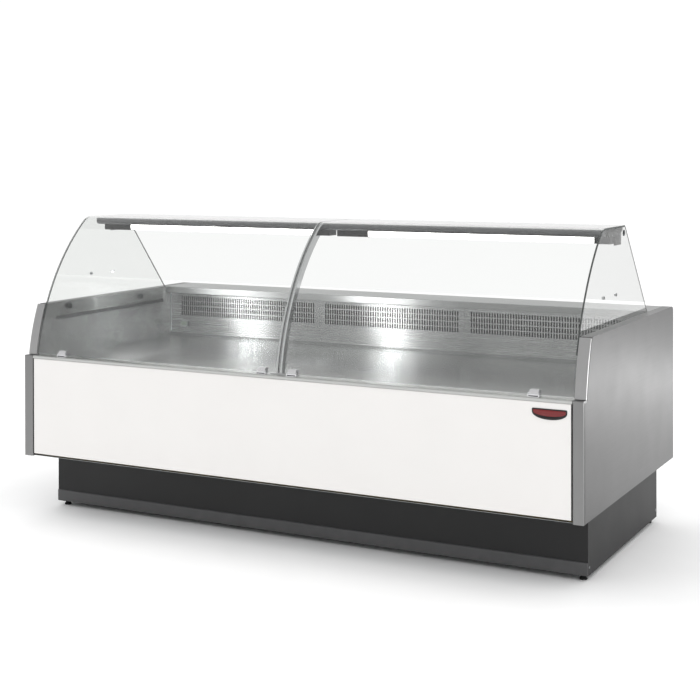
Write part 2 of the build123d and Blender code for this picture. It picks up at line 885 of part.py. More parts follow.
def finned_coil(x_from, x_to, depth_limits, height_limits, fins, tube_rows):
    """Coil block of fins crossed by tubes along X, in the open part."""
    pitch = (x_to - x_from) / (fins - 1)
    for index in range(fins):
        x = x_from + index * pitch
        slab((x - 0.6, x + 0.6), depth_limits, height_limits)
    depth_step = (depth_limits[1] - depth_limits[0]) / 3
    height_step = (height_limits[1] - height_limits[0]) / (tube_rows + 1)
    for column in (1, 2):
        for row in range(1, tube_rows + 1):
            spot = (
                (x_from + x_to) / 2,
                depth_limits[0] + column * depth_step - overall_depth / 2,
                height_limits[0] + row * height_step,
            )
            with Locations(Location(spot, (0, 90, 0))):
                Cylinder(7, x_to - x_from + 30)


with BuildPart() as evaporator:
    coil_half = coil_length / 2
    coil_limits = (coil_front, coil_front + coil_depth)
    finned_coil(-coil_half, coil_half, coil_limits, (coil_base, coil_base + coil_height), 37, 4)
    for side, word in sides:
        plate = sorted((side * coil_half, side * (coil_half + 2.5)))
        slab(plate, coil_limits, (liner_floor + sheet, coil_base + coil_height))
write(evaporator, "evaporator")

# Plinth

with BuildPart() as plinth_front_panel:
    plinth_top = body_underside - fit_gap
    panel_face = (plinth_front, plinth_front + panel_sheet)
    slab((-plinth_half, plinth_half), panel_face, (plinth_foot, plinth_top))
    fold = (plinth_front, plinth_front + 20)
    slab((-plinth_half + 30, plinth_half - 30), fold, (plinth_foot, plinth_foot + panel_sheet))
write(plinth_front_panel, "plinth_front")

with BuildPart() as kick_strip:
    kick_limits = (plinth_front - kick_proud, plinth_front)
    slab((-plinth_half, plinth_half), kick_limits, (plinth_foot + 2, plinth_foot + 2 + kick_height))
    upper_edge = kick_strip.edges().filter_by(Axis.X).group_by(Axis.Z)[-1].sort_by(Axis.Y)[0]
    chamfer(upper_edge, length=kick_proud * 0.6)
write(kick_strip, "kick_strip")

with BuildPart() as plinth_sides:
    for side, word in sides:
        face = sorted((side * (plinth_half - panel_sheet), side * plinth_half))
        slab(face, (plinth_front + panel_sheet, plinth_rear - panel_sheet), (plinth_foot, plinth_top))
write(plinth_sides, "plinth_sides")

with BuildPart() as rear_grille:
    with BuildSketch(facing(plinth_rear)):
        with Locations((0, (plinth_foot + plinth_top) / 2)):
            Rectangle(2 * plinth_half, plinth_top - plinth_foot)
        vent_z = (plinth_foot + plinth_top) / 2 + 10
        with Locations((unit_x, vent_z), (-unit_x, vent_z)):
            with GridLocations(16, 60, 28, 2):
                Rectangle(7, 48, mode=Mode.SUBTRACT)
    extrude(amount=panel_sheet)
write(rear_grille, "plinth_rear_grille")

# Base frame: hollow rails, cross tubes, uprights and the condensing unit's tray


def square_tube(x_range, depth_range, height_range, axis):
    """Hollow square tube between these limits, open at both ends along the axis, in the open part."""
    limits = [x_range, depth_range, height_range]
    slab(*limits)
    hollow = [
        span if index == axis else (span[0] + tube_wall, span[1] - tube_wall)
        for index, span in enumerate(limits)
    ]
    slab(*hollow, mode=Mode.SUBTRACT)


rail_front_depth = plinth_front + 12
rail_rear_depth = plinth_rear - 12 - tube
rail_half = plinth_half - 8
foot_x = rail_half - foot_inset + 8
frame_depths = (rail_front_depth, rail_rear_depth)
with BuildPart() as base_frame:
    rail_heights = (tube_foot, tube_foot + tube)
    for depth in frame_depths:
        square_tube((-rail_half, rail_half), (depth, depth + tube), rail_heights, 0)
    for x in (-foot_x, 0, foot_x):
        across = (x - tube / 2, x + tube / 2)
        cross = (rail_front_depth + tube + 0.2, rail_rear_depth - 0.2)
        square_tube(across, cross, rail_heights, 1)
        for depth in frame_depths:
            upright = (tube_foot + tube + 0.2, body_underside)
            square_tube(across, (depth, depth + tube), upright, 2)
    tray_limits = (rail_front_depth + tube + 200, rail_rear_depth - 0.2)
    slab((-foot_x - tube / 2, tube / 2), tray_limits, (tube_foot + tube + 0.2, unit_floor))
    for x in (-foot_x, foot_x):
        for depth in frame_depths:
            with BuildSketch(Plane.XY.offset(tube_foot)):
                with Locations((x, depth + tube / 2 - overall_depth / 2)):
                    Circle(foot_stud)
            extrude(amount=tube_wall, mode=Mode.SUBTRACT)
write(base_frame, "base_frame")

with BuildPart() as levelling_feet:
    for x in (-foot_x, foot_x):
        for depth in frame_depths:
            with BuildSketch(Plane.XY) as pad:
                with Locations((x, depth + tube / 2 - overall_depth / 2)):
                    Circle(foot_radius)
            extrude(amount=foot_pad)
            with BuildSketch(Plane.XY.offset(foot_pad)):
                with Locations((x, depth + tube / 2 - overall_depth / 2)):
                    RegularPolygon(foot_neck, 6)
            extrude(amount=tube_foot - foot_pad)
            with BuildSketch(Plane.XY.offset(tube_foot)):
                with Locations((x, depth + tube / 2 - overall_depth / 2)):
                    Circle(foot_stud)
            extrude(amount=tube * 0.7)
write(levelling_feet, "levelling_feet")

# Condensing unit: compressor, condenser with shroud and motor, fan wheel

compressor_depth = (tray_limits[0] + tray_limits[1]) / 2 - 30
with BuildPart() as compressor:
    spot = (compressor_x, compressor_depth - overall_depth / 2)
    with BuildSketch(Plane.XY.offset(unit_floor)):
        with Locations(spot):
            Rectangle(210, 170)
    extrude(amount=4)
    with BuildSketch(Plane.XY.offset(unit_floor + 4)):
        with Locations(spot):
            with GridLocations(180, 140, 2, 2):
                RegularPolygon(8, 6)
    extrude(amount=7)
    with BuildSketch(Plane.XY.offset(unit_floor + 4)):
        with Locations(spot):
            Circle(74)
    extrude(amount=140)
    fillet(compressor.edges().group_by(Axis.Z)[-1], radius=45)
    slab(
        (compressor_x + 60, compressor_x + 100),
        (compressor_depth - 28, compressor_depth + 28),
        (unit_floor + 40, unit_floor + 100),
    )
write(compressor, "compressor")

with BuildPart() as condenser:
    x_from = unit_x - condenser_width / 2
    x_to = unit_x + condenser_width / 2
    depth_limits = (condenser_front, condenser_front + condenser_depth)
    finned_coil(x_from, x_to, depth_limits, (condenser_low, condenser_low + condenser_height), 24, 4)
    for x in (x_from, x_to):
        hand = -1 if x == x_from else 1
        plate = sorted((x, x + hand * 2.5))
        plate_top = condenser_low + condenser_height
        slab(plate, (shroud_depth, condenser_front + condenser_depth), (unit_floor, plate_top))
    with BuildSketch(facing(shroud_depth)):
        with Locations((unit_x, condenser_z)):
            Rectangle(condenser_width, condenser_height)
            Circle(condenser_tip + fan_tip_gap, mode=Mode.SUBTRACT)
    extrude(amount=-sheet)
write(condenser, "condenser")

with BuildPart() as condenser_fan:
    add(fan_wheel(unit_x, wheel_depth - 12, condenser_z, condenser_tip))
write(condenser_fan, "condenser_fan")

with BuildPart() as condenser_motor:
    face = wheel_depth - 70
    with BuildSketch(facing(face)):
        with Locations((unit_x, condenser_z)):
            Circle(fan_hub + 4)
    extrude(amount=-38)
    with BuildSketch(facing(face)):
        with Locations((unit_x, condenser_z)):
            Circle(shaft_radius)
    extrude(amount=-70)
    slab((unit_x - 20, unit_x + 20), (face + 6, face + 32), (unit_floor, condenser_z - fan_hub))
    slab((unit_x - 45, unit_x + 45), (face - 6, face + 44), (unit_floor, unit_floor + 3))
write(condenser_motor, "condenser_motor")

# Server-side controls: bezel with two rocker switches, and the mains cable's gland

rocker_xs = (control_x - 20, control_x + 20)
rocker_depth = skin_rear - 2
with BuildPart() as control_panel:
    bezel = (control_x - control_width / 2, control_x + control_width / 2)
    bezel_z = (control_z - control_height / 2, control_z + control_height / 2)
    slab(bezel, (skin_rear, skin_rear + 4), bezel_z)
    fillet(control_panel.faces().sort_by(Axis.Y)[-1].edges(), radius=1.5)
    body = (bezel[0] + 20, bezel[1] - 20)
    body_z = (bezel_z[0] + 17, bezel_z[1] - 17)
    slab(body, (skin_rear - 40, skin_rear), body_z)
    display = (bezel[0] + 28, bezel[0] + 78)
    slab(display, (skin_rear + 3, skin_rear + 4), (control_z - 12, control_z + 12), mode=Mode.SUBTRACT)
    for x in rocker_xs:
        well = (x - rocker_width / 2 - fit_gap, x + rocker_width / 2 + fit_gap)
        well_z = (control_z - rocker_half - 3.5, control_z + rocker_half + 3.5)
        slab(well, (rocker_depth - 12, skin_rear + 4), well_z, mode=Mode.SUBTRACT)
        pin_hole = disc(rocker_depth, control_z, 1.5 + running_gap)
        add(extrusion(pin_hole, well[0] - 2, well[1] + 2), mode=Mode.SUBTRACT)
write(control_panel, "control_panel")

crest = rocker_half * sin(rocker_swing) / cos(rocker_swing)
rocker_face = 7.0
rocker_shape = polygon(
    (rocker_depth - 6, control_z - rocker_half),
    (rocker_depth + rocker_face, control_z - rocker_half),
    (rocker_depth + rocker_face, control_z),
    (rocker_depth + rocker_face + crest, control_z + rocker_half),
    (rocker_depth - 6, control_z + rocker_half),
)
for x, name in zip(rocker_xs, ("power_switch", "lamp_switch")):
    with BuildPart() as rocker:
        add(extrusion(rocker_shape, x - rocker_width / 2, x + rocker_width / 2))
        pin = disc(rocker_depth, control_z, 1.5)
        add(extrusion(pin, x - rocker_width / 2 - 2, x + rocker_width / 2 + 2))
    write(rocker, name)

with BuildPart() as inlet_gland:
    with BuildSketch(facing(skin_rear)):
        with Locations((gland_x, gland_z)):
            RegularPolygon(13.5, 6)
    extrude(amount=-6)
    with BuildSketch(facing(skin_rear + 6)):
        with Locations((gland_x, gland_z)):
            Circle(11)
    extrude(amount=-8)
    with BuildSketch(facing(skin_rear - 12)):
        with Locations((gland_x, gland_z)):
            Circle(gland_bore + 4)
    extrude(amount=-12)
    with BuildSketch(facing(skin_rear - 12)):
        with Locations((gland_x, gland_z)):
            Circle(gland_bore)
    extrude(amount=-26, mode=Mode.SUBTRACT)
write(inlet_gland, "inlet_gland")

# Screws that show

with BuildPart() as screws:
    for side, word in sides:
        for depth in (485.0, 569.0):
            cap_outer = canopy_half + canopy_cap
            add(extrusion(disc(depth, canopy_foot + 9, 4.5), side * cap_outer, side * (cap_outer + 1)))
        for depth in (plinth_front + 14, plinth_rear - 14):
            add(extrusion(disc(depth, plinth_top - 12, 4), side * plinth_half, side * (plinth_half + 1.5)))
write(screws, "screws")
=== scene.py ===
"""Visual model of a curved-glass refrigerated serve-over display counter.

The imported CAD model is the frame. Each sub-assembly below dresses its CAD nodes in finishes
worked out from real materials and adds the small pieces that the solids leave out.
All lengths are in metres in the row frame unless a name ends in _mm.
"""

import logging
import math
from dataclasses import dataclass
from enum import Enum
from typing import Callable, ClassVar, Iterable, Optional, Sequence, Union

import bmesh
import bpy
from mathutils import Matrix, Vector


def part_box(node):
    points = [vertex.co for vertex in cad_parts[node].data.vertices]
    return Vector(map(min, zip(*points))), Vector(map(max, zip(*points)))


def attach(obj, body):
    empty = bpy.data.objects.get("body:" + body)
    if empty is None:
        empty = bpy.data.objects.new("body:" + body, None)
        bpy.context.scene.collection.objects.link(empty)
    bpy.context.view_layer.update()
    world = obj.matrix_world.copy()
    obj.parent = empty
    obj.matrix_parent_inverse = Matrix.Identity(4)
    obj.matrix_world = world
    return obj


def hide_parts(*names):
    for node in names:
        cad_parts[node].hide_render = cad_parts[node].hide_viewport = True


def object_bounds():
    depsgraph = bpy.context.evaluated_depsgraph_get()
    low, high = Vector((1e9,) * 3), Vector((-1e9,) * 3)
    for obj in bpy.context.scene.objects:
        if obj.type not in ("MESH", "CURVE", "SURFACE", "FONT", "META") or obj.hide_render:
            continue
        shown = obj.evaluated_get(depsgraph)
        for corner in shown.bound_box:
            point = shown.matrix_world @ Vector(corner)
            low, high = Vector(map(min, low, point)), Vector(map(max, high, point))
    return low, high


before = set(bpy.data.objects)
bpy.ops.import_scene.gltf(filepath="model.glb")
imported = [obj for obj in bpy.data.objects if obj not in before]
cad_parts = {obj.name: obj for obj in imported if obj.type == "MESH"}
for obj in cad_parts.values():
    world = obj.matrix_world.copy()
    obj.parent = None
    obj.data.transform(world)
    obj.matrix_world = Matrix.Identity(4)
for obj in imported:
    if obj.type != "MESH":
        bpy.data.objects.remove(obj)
CAD_BOX = [list(corner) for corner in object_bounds()]
LOG = logging.getLogger("display_counter")
MM = 0.001
THIRDS = ("left", "centre", "right")

Point = Sequence[float]
Shape = tuple[list[Point], list[Sequence[int]]]
Mesh = bmesh.types.BMesh
Material = bpy.types.Material
Piece = bpy.types.Object
Socket = bpy.types.NodeSocket


class Grain(Enum):
    """Direction in which a sheet or an extrusion was brushed or drawn."""

    ALONG = (1.0, 0.0, 0.0)
    ACROSS = (0.0, 1.0, 0.0)
    UPRIGHT = (0.0, 0.0, 1.0)


class Side(Enum):
    """The two ends of the counter as the customer sees them."""

    LEFT = -1
    RIGHT = 1

    @property
    def word(self) -> str:
        """The side's name in CAD node names."""
        return self.name.lower()


def linear(hex_colour: str) -> tuple[float, float, float, float]:
    """Turn an sRGB hex colour into the linear colour that shaders take.

    Args:
        hex_colour: Colour such as "#8f8f8d".

    Returns:
        Red, green, blue and an alpha of 1.
    """
    channels = [int(hex_colour[i : i + 2], 16) / 255 for i in (1, 3, 5)]
    made = [c / 12.92 if c <= 0.04045 else ((c + 0.055) / 1.055) ** 2.4 for c in channels]
    return (made[0], made[1], made[2], 1.0)


def add_node(
    material: bpy.types.ID, kind: str, inputs: Optional[dict] = None, **settings: object
) -> bpy.types.Node:
    """Add a shader node with its settings, values and links.

    Args:
        material: Material or world that owns the node tree.
        kind: Node class without its "ShaderNode" prefix.
        inputs: Input name or number to a value, or to the output socket that feeds it.
        **settings: Attributes of the node itself.

    Returns:
        The new node.
    """
    tree = material.node_tree
    node = tree.nodes.new("ShaderNode" + kind)
    for name, value in settings.items():
        setattr(node, name, value)
    for key, value in (inputs or {}).items():
        if isinstance(value, Socket):
            tree.links.new(value, node.inputs[key])
        else:
            node.inputs[key].default_value = value
    return node


@dataclass(frozen=True)
class Finish:
    """A surface finish, whose tone, roughness and relief follow patterns of a real size.

    Subclasses say how the surface is made. The shades are its darkest and brightest tone as
    shares of the tint, the spread is how far its roughness varies, and the traits are shader
    inputs that all surfaces of the kind share.
    """

    label: str
    tint: str = "#b4b5b6"
    roughness: float = 0.3
    relief: float = 0.05
    cell_mm: float = 3.0
    grain: Grain = Grain.ALONG
    shades: ClassVar[tuple[float, float]] = (0.9, 1.0)
    spread: ClassVar[float] = 0.1
    relief_height: ClassVar[float] = 0.2 * MM
    traits: ClassVar[dict[str, float]] = {"Metallic": 1.0}

    def material(self) -> Material:
        """The finish's material, made on first use.

        Returns:
            The material, with its nodes built.
        """
        made = bpy.data.materials.get(self.label)
        if made is None:
            made = bpy.data.materials.new(self.label)
            made.use_nodes = True
            made.node_tree.nodes.clear()
            add_node(made, "OutputMaterial", {"Surface": self.shade(made)})
        return made

    def shade(self, made: Material) -> Socket:
        """Build the nodes and return the shader socket."""
        raise NotImplementedError

    def drawn(self, length: float) -> list[float]:
        """The pattern's cell, drawn out to a length along the metal's grain."""
        return [length if share else self.cell_mm * MM for share in self.grain.value]

    def pattern(
        self, made: Material, cell: Union[None, float, Point] = None, crystals: str = "", **inputs: float
    ) -> Socket:
        """Lay out a texture whose cells have a real size.

        Args:
            made: Material to build in.
            cell: Size of a cell in metres, one for all directions or one for each.
            crystals: What is read from sharp cells, Distance or Color, in place of soft noise.
            **inputs: The texture's other inputs.

        Returns:
            The pattern.
        """
        cell = cell or self.cell_mm * MM
        scale = [1 / size for size in ((cell,) * 3 if isinstance(cell, float) else cell)]
        where = add_node(made, "TexCoord").outputs["Object"]
        mapped = add_node(made, "Mapping", {"Vector": where, "Scale": scale}).outputs["Vector"]
        texture = add_node(
            made, "TexVoronoi" if crystals else "TexNoise", {"Vector": mapped, "Scale": 1.0, **inputs}
        )
        return texture.outputs[crystals or "Fac"]

    def toned(self, made: Material, share: Socket) -> Socket:
        """Vary the tint between its darkest and brightest tone.

        Args:
            made: Material to build in.
            share: Pattern that the tone follows.

        Returns:
            The colour.
        """
        base = linear(self.tint)[:3]
        dark, bright = ([min(1.0, c * part) for c in base] + [1.0] for part in self.shades)
        return add_node(made, "Mix", {0: share, 6: dark, 7: bright}, data_type="RGBA").outputs[2]

    def surface(
        self, made: Material, colour: Socket, wear: Optional[Socket] = None,
        height: Optional[Socket] = None, inputs: Optional[dict] = None
    ) -> Socket:
        """Make the surface from its colour and patterns.

        Args:
            made: Material to build in.
            colour: Its colour.
            wear: Pattern that the roughness follows, where it varies.
            height: Pattern that the relief follows, where there is any.
            inputs: Shader inputs of this surface alone.

        Returns:
            The shader socket.
        """
        values = {"Base Color": colour, "Roughness": self.roughness, **self.traits}
        if wear is not None:
            rough = {0: wear, 1: self.spread, 2: self.roughness - self.spread / 2}
            values["Roughness"] = add_node(made, "Math", rough, operation="MULTIPLY_ADD").outputs[0]
        if height is not None:
            bumps = {"Strength": self.relief, "Distance": self.relief_height, "Height": height}
            values["Normal"] = add_node(made, "Bump", bumps).outputs["Normal"]
        return add_node(made, "BsdfPrincipled", {**values, **(inputs or {})}).outputs[0]


@dataclass(frozen=True)
class BrushedSheet(Finish):
    """Cold-rolled stainless sheet, belt-brushed one way.

    The belt leaves fine parallel scratches, so highlights stretch across them. Real scratches
    are a few hundredths of a millimetre apart and are drawn coarser here so that they show.
    Handling and cleaning cloud the sheet over about a hand's width.
    """

    tint: str = "#a3a4a4"
    relief: float = 0.03
    cell_mm: float = 2.5
    stretch: float = 0.55
    clouding: float = 0.07
    shades = (0.9, 1.08)
    spread = 0.12
    relief_height = 0.3 * MM
    scratch_length: ClassVar[float] = 0.42
    hand_width: ClassVar[float] = 0.16
    quarter_turn: ClassVar[float] = 0.25

    def shade(self, made: Material) -> Socket:
        """Streaked grey metal with soft clouding and a stretched highlight.

        Args:
            made: Material to build in.

        Returns:
            The shader socket.
        """
        streaks = self.pattern(made, self.drawn(self.scratch_length), Detail=5.0, Roughness=0.62)
        cloud = self.pattern(made, self.hand_width, Detail=2.0)
        lowest = self.roughness - self.clouding / 2
        worn = add_node(made, "Math", {0: cloud, 1: self.clouding, 2: lowest}, operation="MULTIPLY_ADD")
        rough = {0: streaks, 1: self.spread, 2: worn.outputs[0]}
        inputs = {
            "Roughness": add_node(made, "Math", rough, operation="MULTIPLY_ADD").outputs[0],
            "Anisotropic": self.stretch,
            "Anisotropic Rotation": self.quarter_turn,
            "Tangent": add_node(made, "CombineXYZ", dict(zip("XYZ", self.grain.value))).outputs[0],
        }
        return self.surface(made, self.toned(made, streaks), height=streaks, inputs=inputs)


@dataclass(frozen=True)
class AnodisedExtrusion(Finish):
    """Extruded aluminium, satin anodised.

    The die draws faint lines along the bar and the oxide softens them, so it gleams evenly.
    """

    roughness: float = 0.32
    line_length: ClassVar[float] = 1.5

    def shade(self, made: Material) -> Socket:
        """Pale even metal with die lines along its length."""
        lines = self.pattern(made, self.drawn(self.line_length), Detail=3.0)
        return self.surface(made, self.toned(made, lines), lines, lines)


@dataclass(frozen=True)
class PaintedSheet(Finish):
    """Sheet steel with a stoved powder or enamel coat.

    The coat levels as it melts but keeps a slight orange peel a couple of millimetres wide.
    """

    tint: str = "#f2f0ed"
    roughness: float = 0.25
    gloss_coat: float = 0.0
    shades = (0.95, 1.0)
    spread = 0.12
    relief_height = 0.3 * MM
    traits = {"IOR": 1.5, "Coat Roughness": 0.08}
    drift_width: ClassVar[float] = 0.3

    def shade(self, made: Material) -> Socket:
        """Even paint with orange peel and a faint change of shade.

        Args:
            made: Material to build in.

        Returns:
            The shader socket.
        """
        peel = self.pattern(made, Detail=2.0)
        drift = self.pattern(made, self.drift_width, Detail=3.0)
        coat = {"Coat Weight": self.gloss_coat}
        return self.surface(made, self.toned(made, drift), drift, peel, coat)


@dataclass(frozen=True)
class GalvanisedSheet(Finish):
    """Hot-dip galvanised steel.

    Zinc freezes into flat crystals, each a slightly different grey, so the sheet looks mottled.
    """

    tint: str = "#9da1a3"
    roughness: float = 0.42
    cell_mm: float = 9.0
    shades = (0.9, 1.06)
    spread = 0.08

    def shade(self, made: Material) -> Socket:
        """Mottled zinc, each crystal with its own grey and roughness."""
        chance = add_node(made, "SeparateColor", {0: self.pattern(made, crystals="Color")}).outputs
        return self.surface(made, self.toned(made, chance[0]), chance[1])


@dataclass(frozen=True)
class MouldedPlastic(Finish):
    """Injection-moulded ABS or nylon with a spark-eroded texture."""

    tint: str = "#1b1b1c"
    roughness: float = 0.45
    relief: float = 0.12
    cell_mm: float = 1.2
    shades = (0.85, 1.2)
    spread = 0.2
    traits = {"IOR": 1.49}
    grip_width: ClassVar[float] = 0.05

    def shade(self, made: Material) -> Socket:
        """Plain plastic with a fine pebbled grain, lighter where hands have polished it."""
        grip = self.pattern(made, self.grip_width, Detail=2.0)
        return self.surface(made, self.toned(made, grip), grip, self.pattern(made, crystals="Distance"))


@dataclass(frozen=True)
class PlatedMetal(Finish):
    """Polished metal, chromed or bright.

    Plating mirrors its surroundings, softened only by wiping marks.
    """

    tint: str = "#c9cbcc"
    roughness: float = 0.09
    cell_mm: float = 30.0
    shades = (0.93, 1.0)
    spread = 0.08
    mark: ClassVar[Point] = (1.0, 1.0, 0.3)

    def shade(self, made: Material) -> Socket:
        """Mirror metal with faint wiping marks in its roughness."""
        wipes = self.pattern(made, [self.cell_mm * MM * part for part in self.mark], Detail=4.0)
        return self.surface(made, self.toned(made, wipes), wipes)


@dataclass(frozen=True)
class ClearGlass(Finish):
    """Toughened float glass, 6 mm.

    It is nearly invisible face on and mirrors the room at a glance. The iron in the glass
    takes a little light out of what is seen through it, and wiping leaves a very faint haze.
    """

    tint: str = "#f7f8f7"
    roughness: float = 0.0
    shades = (0.985, 1.0)
    traits = {"IOR": 1.5, "Transmission Weight": 1.0}
    haze_cell: ClassVar[Point] = (0.25, 0.25, 0.12)

    def shade(self, made: Material) -> Socket:
        """Solid glass that bends and mirrors, and lets lamps through.

        Args:
            made: Material to build in.

        Returns:
            The shader socket.
        """
        through = self.toned(made, self.pattern(made, self.haze_cell, Detail=4.0))
        clear = add_node(made, "BsdfTransparent", {"Color": through}).outputs[0]
        lamps = add_node(made, "LightPath").outputs["Is Shadow Ray"]
        either = {0: lamps, 1: self.surface(made, through), 2: clear}
        return add_node(made, "MixShader", either).outputs[0]


@dataclass(frozen=True)
class OpalAcrylic(Finish):
    """Cast opal acrylic with lamps behind it, which glows evenly and fades to its ends."""

    tint: str = "#fbfbf8"
    roughness: float = 0.35
    glow: float = 6.0
    shades = (0.94, 1.0)
    traits = {"IOR": 1.49}
    band_cell: ClassVar[Point] = (0.3, 0.02, 0.02)

    def shade(self, made: Material) -> Socket:
        """White diffuser lit from inside, with the tubes' slight banding."""
        tone = self.toned(made, self.pattern(made, self.band_cell, Detail=1.0))
        return self.surface(made, tone, inputs={"Emission Color": tone, "Emission Strength": self.glow})


@dataclass(frozen=True)
class ClosedFoam(Finish):
    """Polyurethane foam blown between the sheets: matt, yellowish and full of small cells."""

    tint: str = "#cdb98a"
    roughness: float = 0.92
    relief: float = 0.4
    cell_mm: float = 2.0
    shades = (0.7, 1.0)
    relief_height = 0.6 * MM
    traits = {"Metallic": 0.0}

    def shade(self, made: Material) -> Socket:
        """Matt foam with cells in its colour and height."""
        cells = self.pattern(made, crystals="Distance")
        return self.surface(made, self.toned(made, cells), height=cells)


# The side walls' dark grey tint is painted shade: the steel is darkened to stand in for the dim
# surroundings it mirrors.
SHADED_SIDE_STEEL = BrushedSheet(
    "brushed_stainless_side_painted_shade", tint="#606060", grain=Grain.ACROSS, stretch=0.2
)
STEEL_INSIDE = BrushedSheet(
    "brushed_stainless_tub", tint="#c6c7c7", roughness=0.2, stretch=0.85, clouding=0.03
)
STEEL_DECK = BrushedSheet(
    "brushed_stainless_deck", tint="#b0b1b1", roughness=0.17, stretch=0.7, clouding=0.03
)
STEEL_TOP = BrushedSheet("brushed_stainless_worktop", tint="#a9aaaa", roughness=0.28)
SATIN_BAR = AnodisedExtrusion("anodised_aluminium")
SATIN_POST = AnodisedExtrusion("anodised_aluminium_upright", tint="#8b8b8b", grain=Grain.UPRIGHT)
# The canopy's dark grey tint is painted shade: the aluminium is darkened to stand in for the dim
# overhead its top mirrors.
SHADED_CANOPY_BAR = AnodisedExtrusion("anodised_aluminium_canopy_painted_shade", tint="#6b6c6e")
TRIM_BAR = AnodisedExtrusion("anodised_aluminium_trim", tint="#bcbcbc", grain=Grain.UPRIGHT)
SILL_BAR = AnodisedExtrusion("anodised_aluminium_sill", tint="#c6c7c5")
RAIL_BAR = AnodisedExtrusion("anodised_aluminium_rail", tint="#828384", grain=Grain.ACROSS)
FIN_STOCK = AnodisedExtrusion("rolled_aluminium_fin_stock", tint="#b9bbbc", grain=Grain.UPRIGHT)
WHITE_ENAMEL = PaintedSheet("stoved_white_enamel", tint="#eceae8", roughness=0.22, gloss_coat=0.3)
CHARCOAL = PaintedSheet("charcoal_powder_coat", tint="#0d0d0e", roughness=0.55, relief=0.12)
BLACK_ENAMEL = PaintedSheet("black_stoved_enamel", tint="#171718", roughness=0.3)
GLASS_EDGE = PaintedSheet("ground_glass_edge", tint="#343a38", roughness=0.3, relief=0.2)
RED_LACQUER = PaintedSheet("red_badge_lacquer", tint="#720c11", roughness=0.2, gloss_coat=0.15)
BADGE_RIM = PaintedSheet("dark_badge_rim", tint="#070405", roughness=0.3)
LIQUID_CRYSTAL = PaintedSheet("liquid_crystal_window", tint="#666e65", roughness=0.12)
SEGMENT_BLACK = PaintedSheet("liquid_crystal_segment", tint="#1c211d", roughness=0.3)
PALE_FLOOR = PaintedSheet("pale_floor", tint="#f8f8f8", roughness=0.85, relief=0.0)
# The kick strip's grey, lighter than the plinth above it, is partly its own colour and partly painted
# light for the light its lower face catches while the plinth lies in the body's shade.
KICK_STRIP_PARTLY_LIT = MouldedPlastic("grey_kick_strip_with_painted_light", tint="#464647", roughness=0.4)
BLACK_ABS = MouldedPlastic("black_moulded_abs")
DARK_ABS = MouldedPlastic("dark_grey_moulded_abs", tint="#2a2b2d", roughness=0.38)
GREY_ABS = MouldedPlastic("mid_grey_moulded_abs", tint="#5a5c5d", roughness=0.4)
# A near-black sheet behind the back panels' air slots, put there as painted shade so the unlit cavity
# shows dark through them.
SLOT_SHADE_SHEET = MouldedPlastic("painted_shade_behind_slots", tint="#161617", roughness=0.95, relief=0.3)
SOFT_RUBBER = MouldedPlastic("moulded_rubber", tint="#131313", roughness=0.7, relief=0.25)
CLEAR_BUFFER = MouldedPlastic("grey_silicone_buffer", tint="#b4b7b9", roughness=0.3)
CHROME = PlatedMetal("chromium_plate", tint="#e4e5e6", roughness=0.07)
SMOKED_CHROME = PlatedMetal("smoked_chromium_plate", tint="#4f5254", roughness=0.14)
BRIGHT_BAR = PlatedMetal("polished_aluminium", tint="#e6e6e6", roughness=0.16)
SCREW_STEEL = PlatedMetal("zinc_plated_screw", tint="#b3b5b8", roughness=0.22, cell_mm=4.0)
COPPER = PlatedMetal("drawn_copper_tube", tint="#b97b5c", roughness=0.28, cell_mm=12.0)
ZINC = GalvanisedSheet("galvanised_sheet")
GLASS = ClearGlass("toughened_float_glass")
OPAL = OpalAcrylic("opal_acrylic_diffuser")
LED_RED = OpalAcrylic("red_led_segment", tint="#e0301f", glow=1.5)
FOAM = ClosedFoam("polyurethane_foam")


def dress(finish: Finish, *nodes: str) -> None:
    """Give CAD nodes a finish.

    Args:
        finish: The finish.
        *nodes: CAD node names.
    """
    for name in nodes:
        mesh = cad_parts[name].data
        mesh.materials.clear()
        mesh.materials.append(finish.material())
        LOG.info("%s in %s", name, finish.label)


def add_piece(
    name: str, shape: Union[Shape, Mesh], finish: Finish, body: str = "cabinet"
) -> Piece:
    """Make a piece from a mesh and let it ride on a body.

    Args:
        name: Piece name.
        shape: Points and faces, or a bmesh, which is freed.
        finish: Its finish.
        body: The CAD body it moves with.

    Returns:
        The new object.
    """
    mesh = bpy.data.meshes.new(name)
    if isinstance(shape, Mesh):
        shape.to_mesh(mesh)
        shape.free()
    else:
        mesh.from_pydata([tuple(p) for p in shape[0]], [], [tuple(f) for f in shape[1]])
    mesh.materials.append(finish.material())
    piece = bpy.data.objects.new(name, mesh)
    bpy.context.scene.collection.objects.link(piece)
    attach(piece, body)
    LOG.info("%s made, %d faces", name, len(mesh.polygons))
    return piece


def smooth(piece: Piece, degrees: float = 35.0) -> Piece:
    """Shade a piece smooth, with edges sharper than an angle kept crisp.

    Args:
        piece: The piece.
        degrees: Smallest sharp angle.

    Returns:
        The same piece.
    """
    piece.data.shade_smooth()
    piece.data.set_sharp_from_angle(angle=math.radians(degrees))
    return piece


def circle(radius: float, steps: int) -> list[tuple[float, float]]:
    """Space points evenly round a circle.

    Args:
        radius: Circle radius.
        steps: Number of points.

    Returns:
        The points' two coordinates.
    """
    angles = [2 * math.pi * k / steps for k in range(steps)]
    return [(radius * math.cos(angle), radius * math.sin(angle)) for angle in angles]


def join_rings(made: Mesh, rings: Sequence[Sequence[bmesh.types.BMVert]]) -> None:
    """Add the faces between neighbouring rings.

    Args:
        made: Mesh that holds the rings.
        rings: Rings of equal counts, or a single vertex where the skin closes to a tip.
    """
    for near, far in zip(rings, rings[1:]):
        count = max(len(near), len(far))
        for k in range(count):
            after = (k + 1) % count
            corners = [near[k % len(near)], near[after % len(near)]]
            corners += [far[after % len(far)], far[k % len(far)]]
            unique = list(dict.fromkeys(corners))
            if len(unique) > 2:
                made.faces.new(unique)


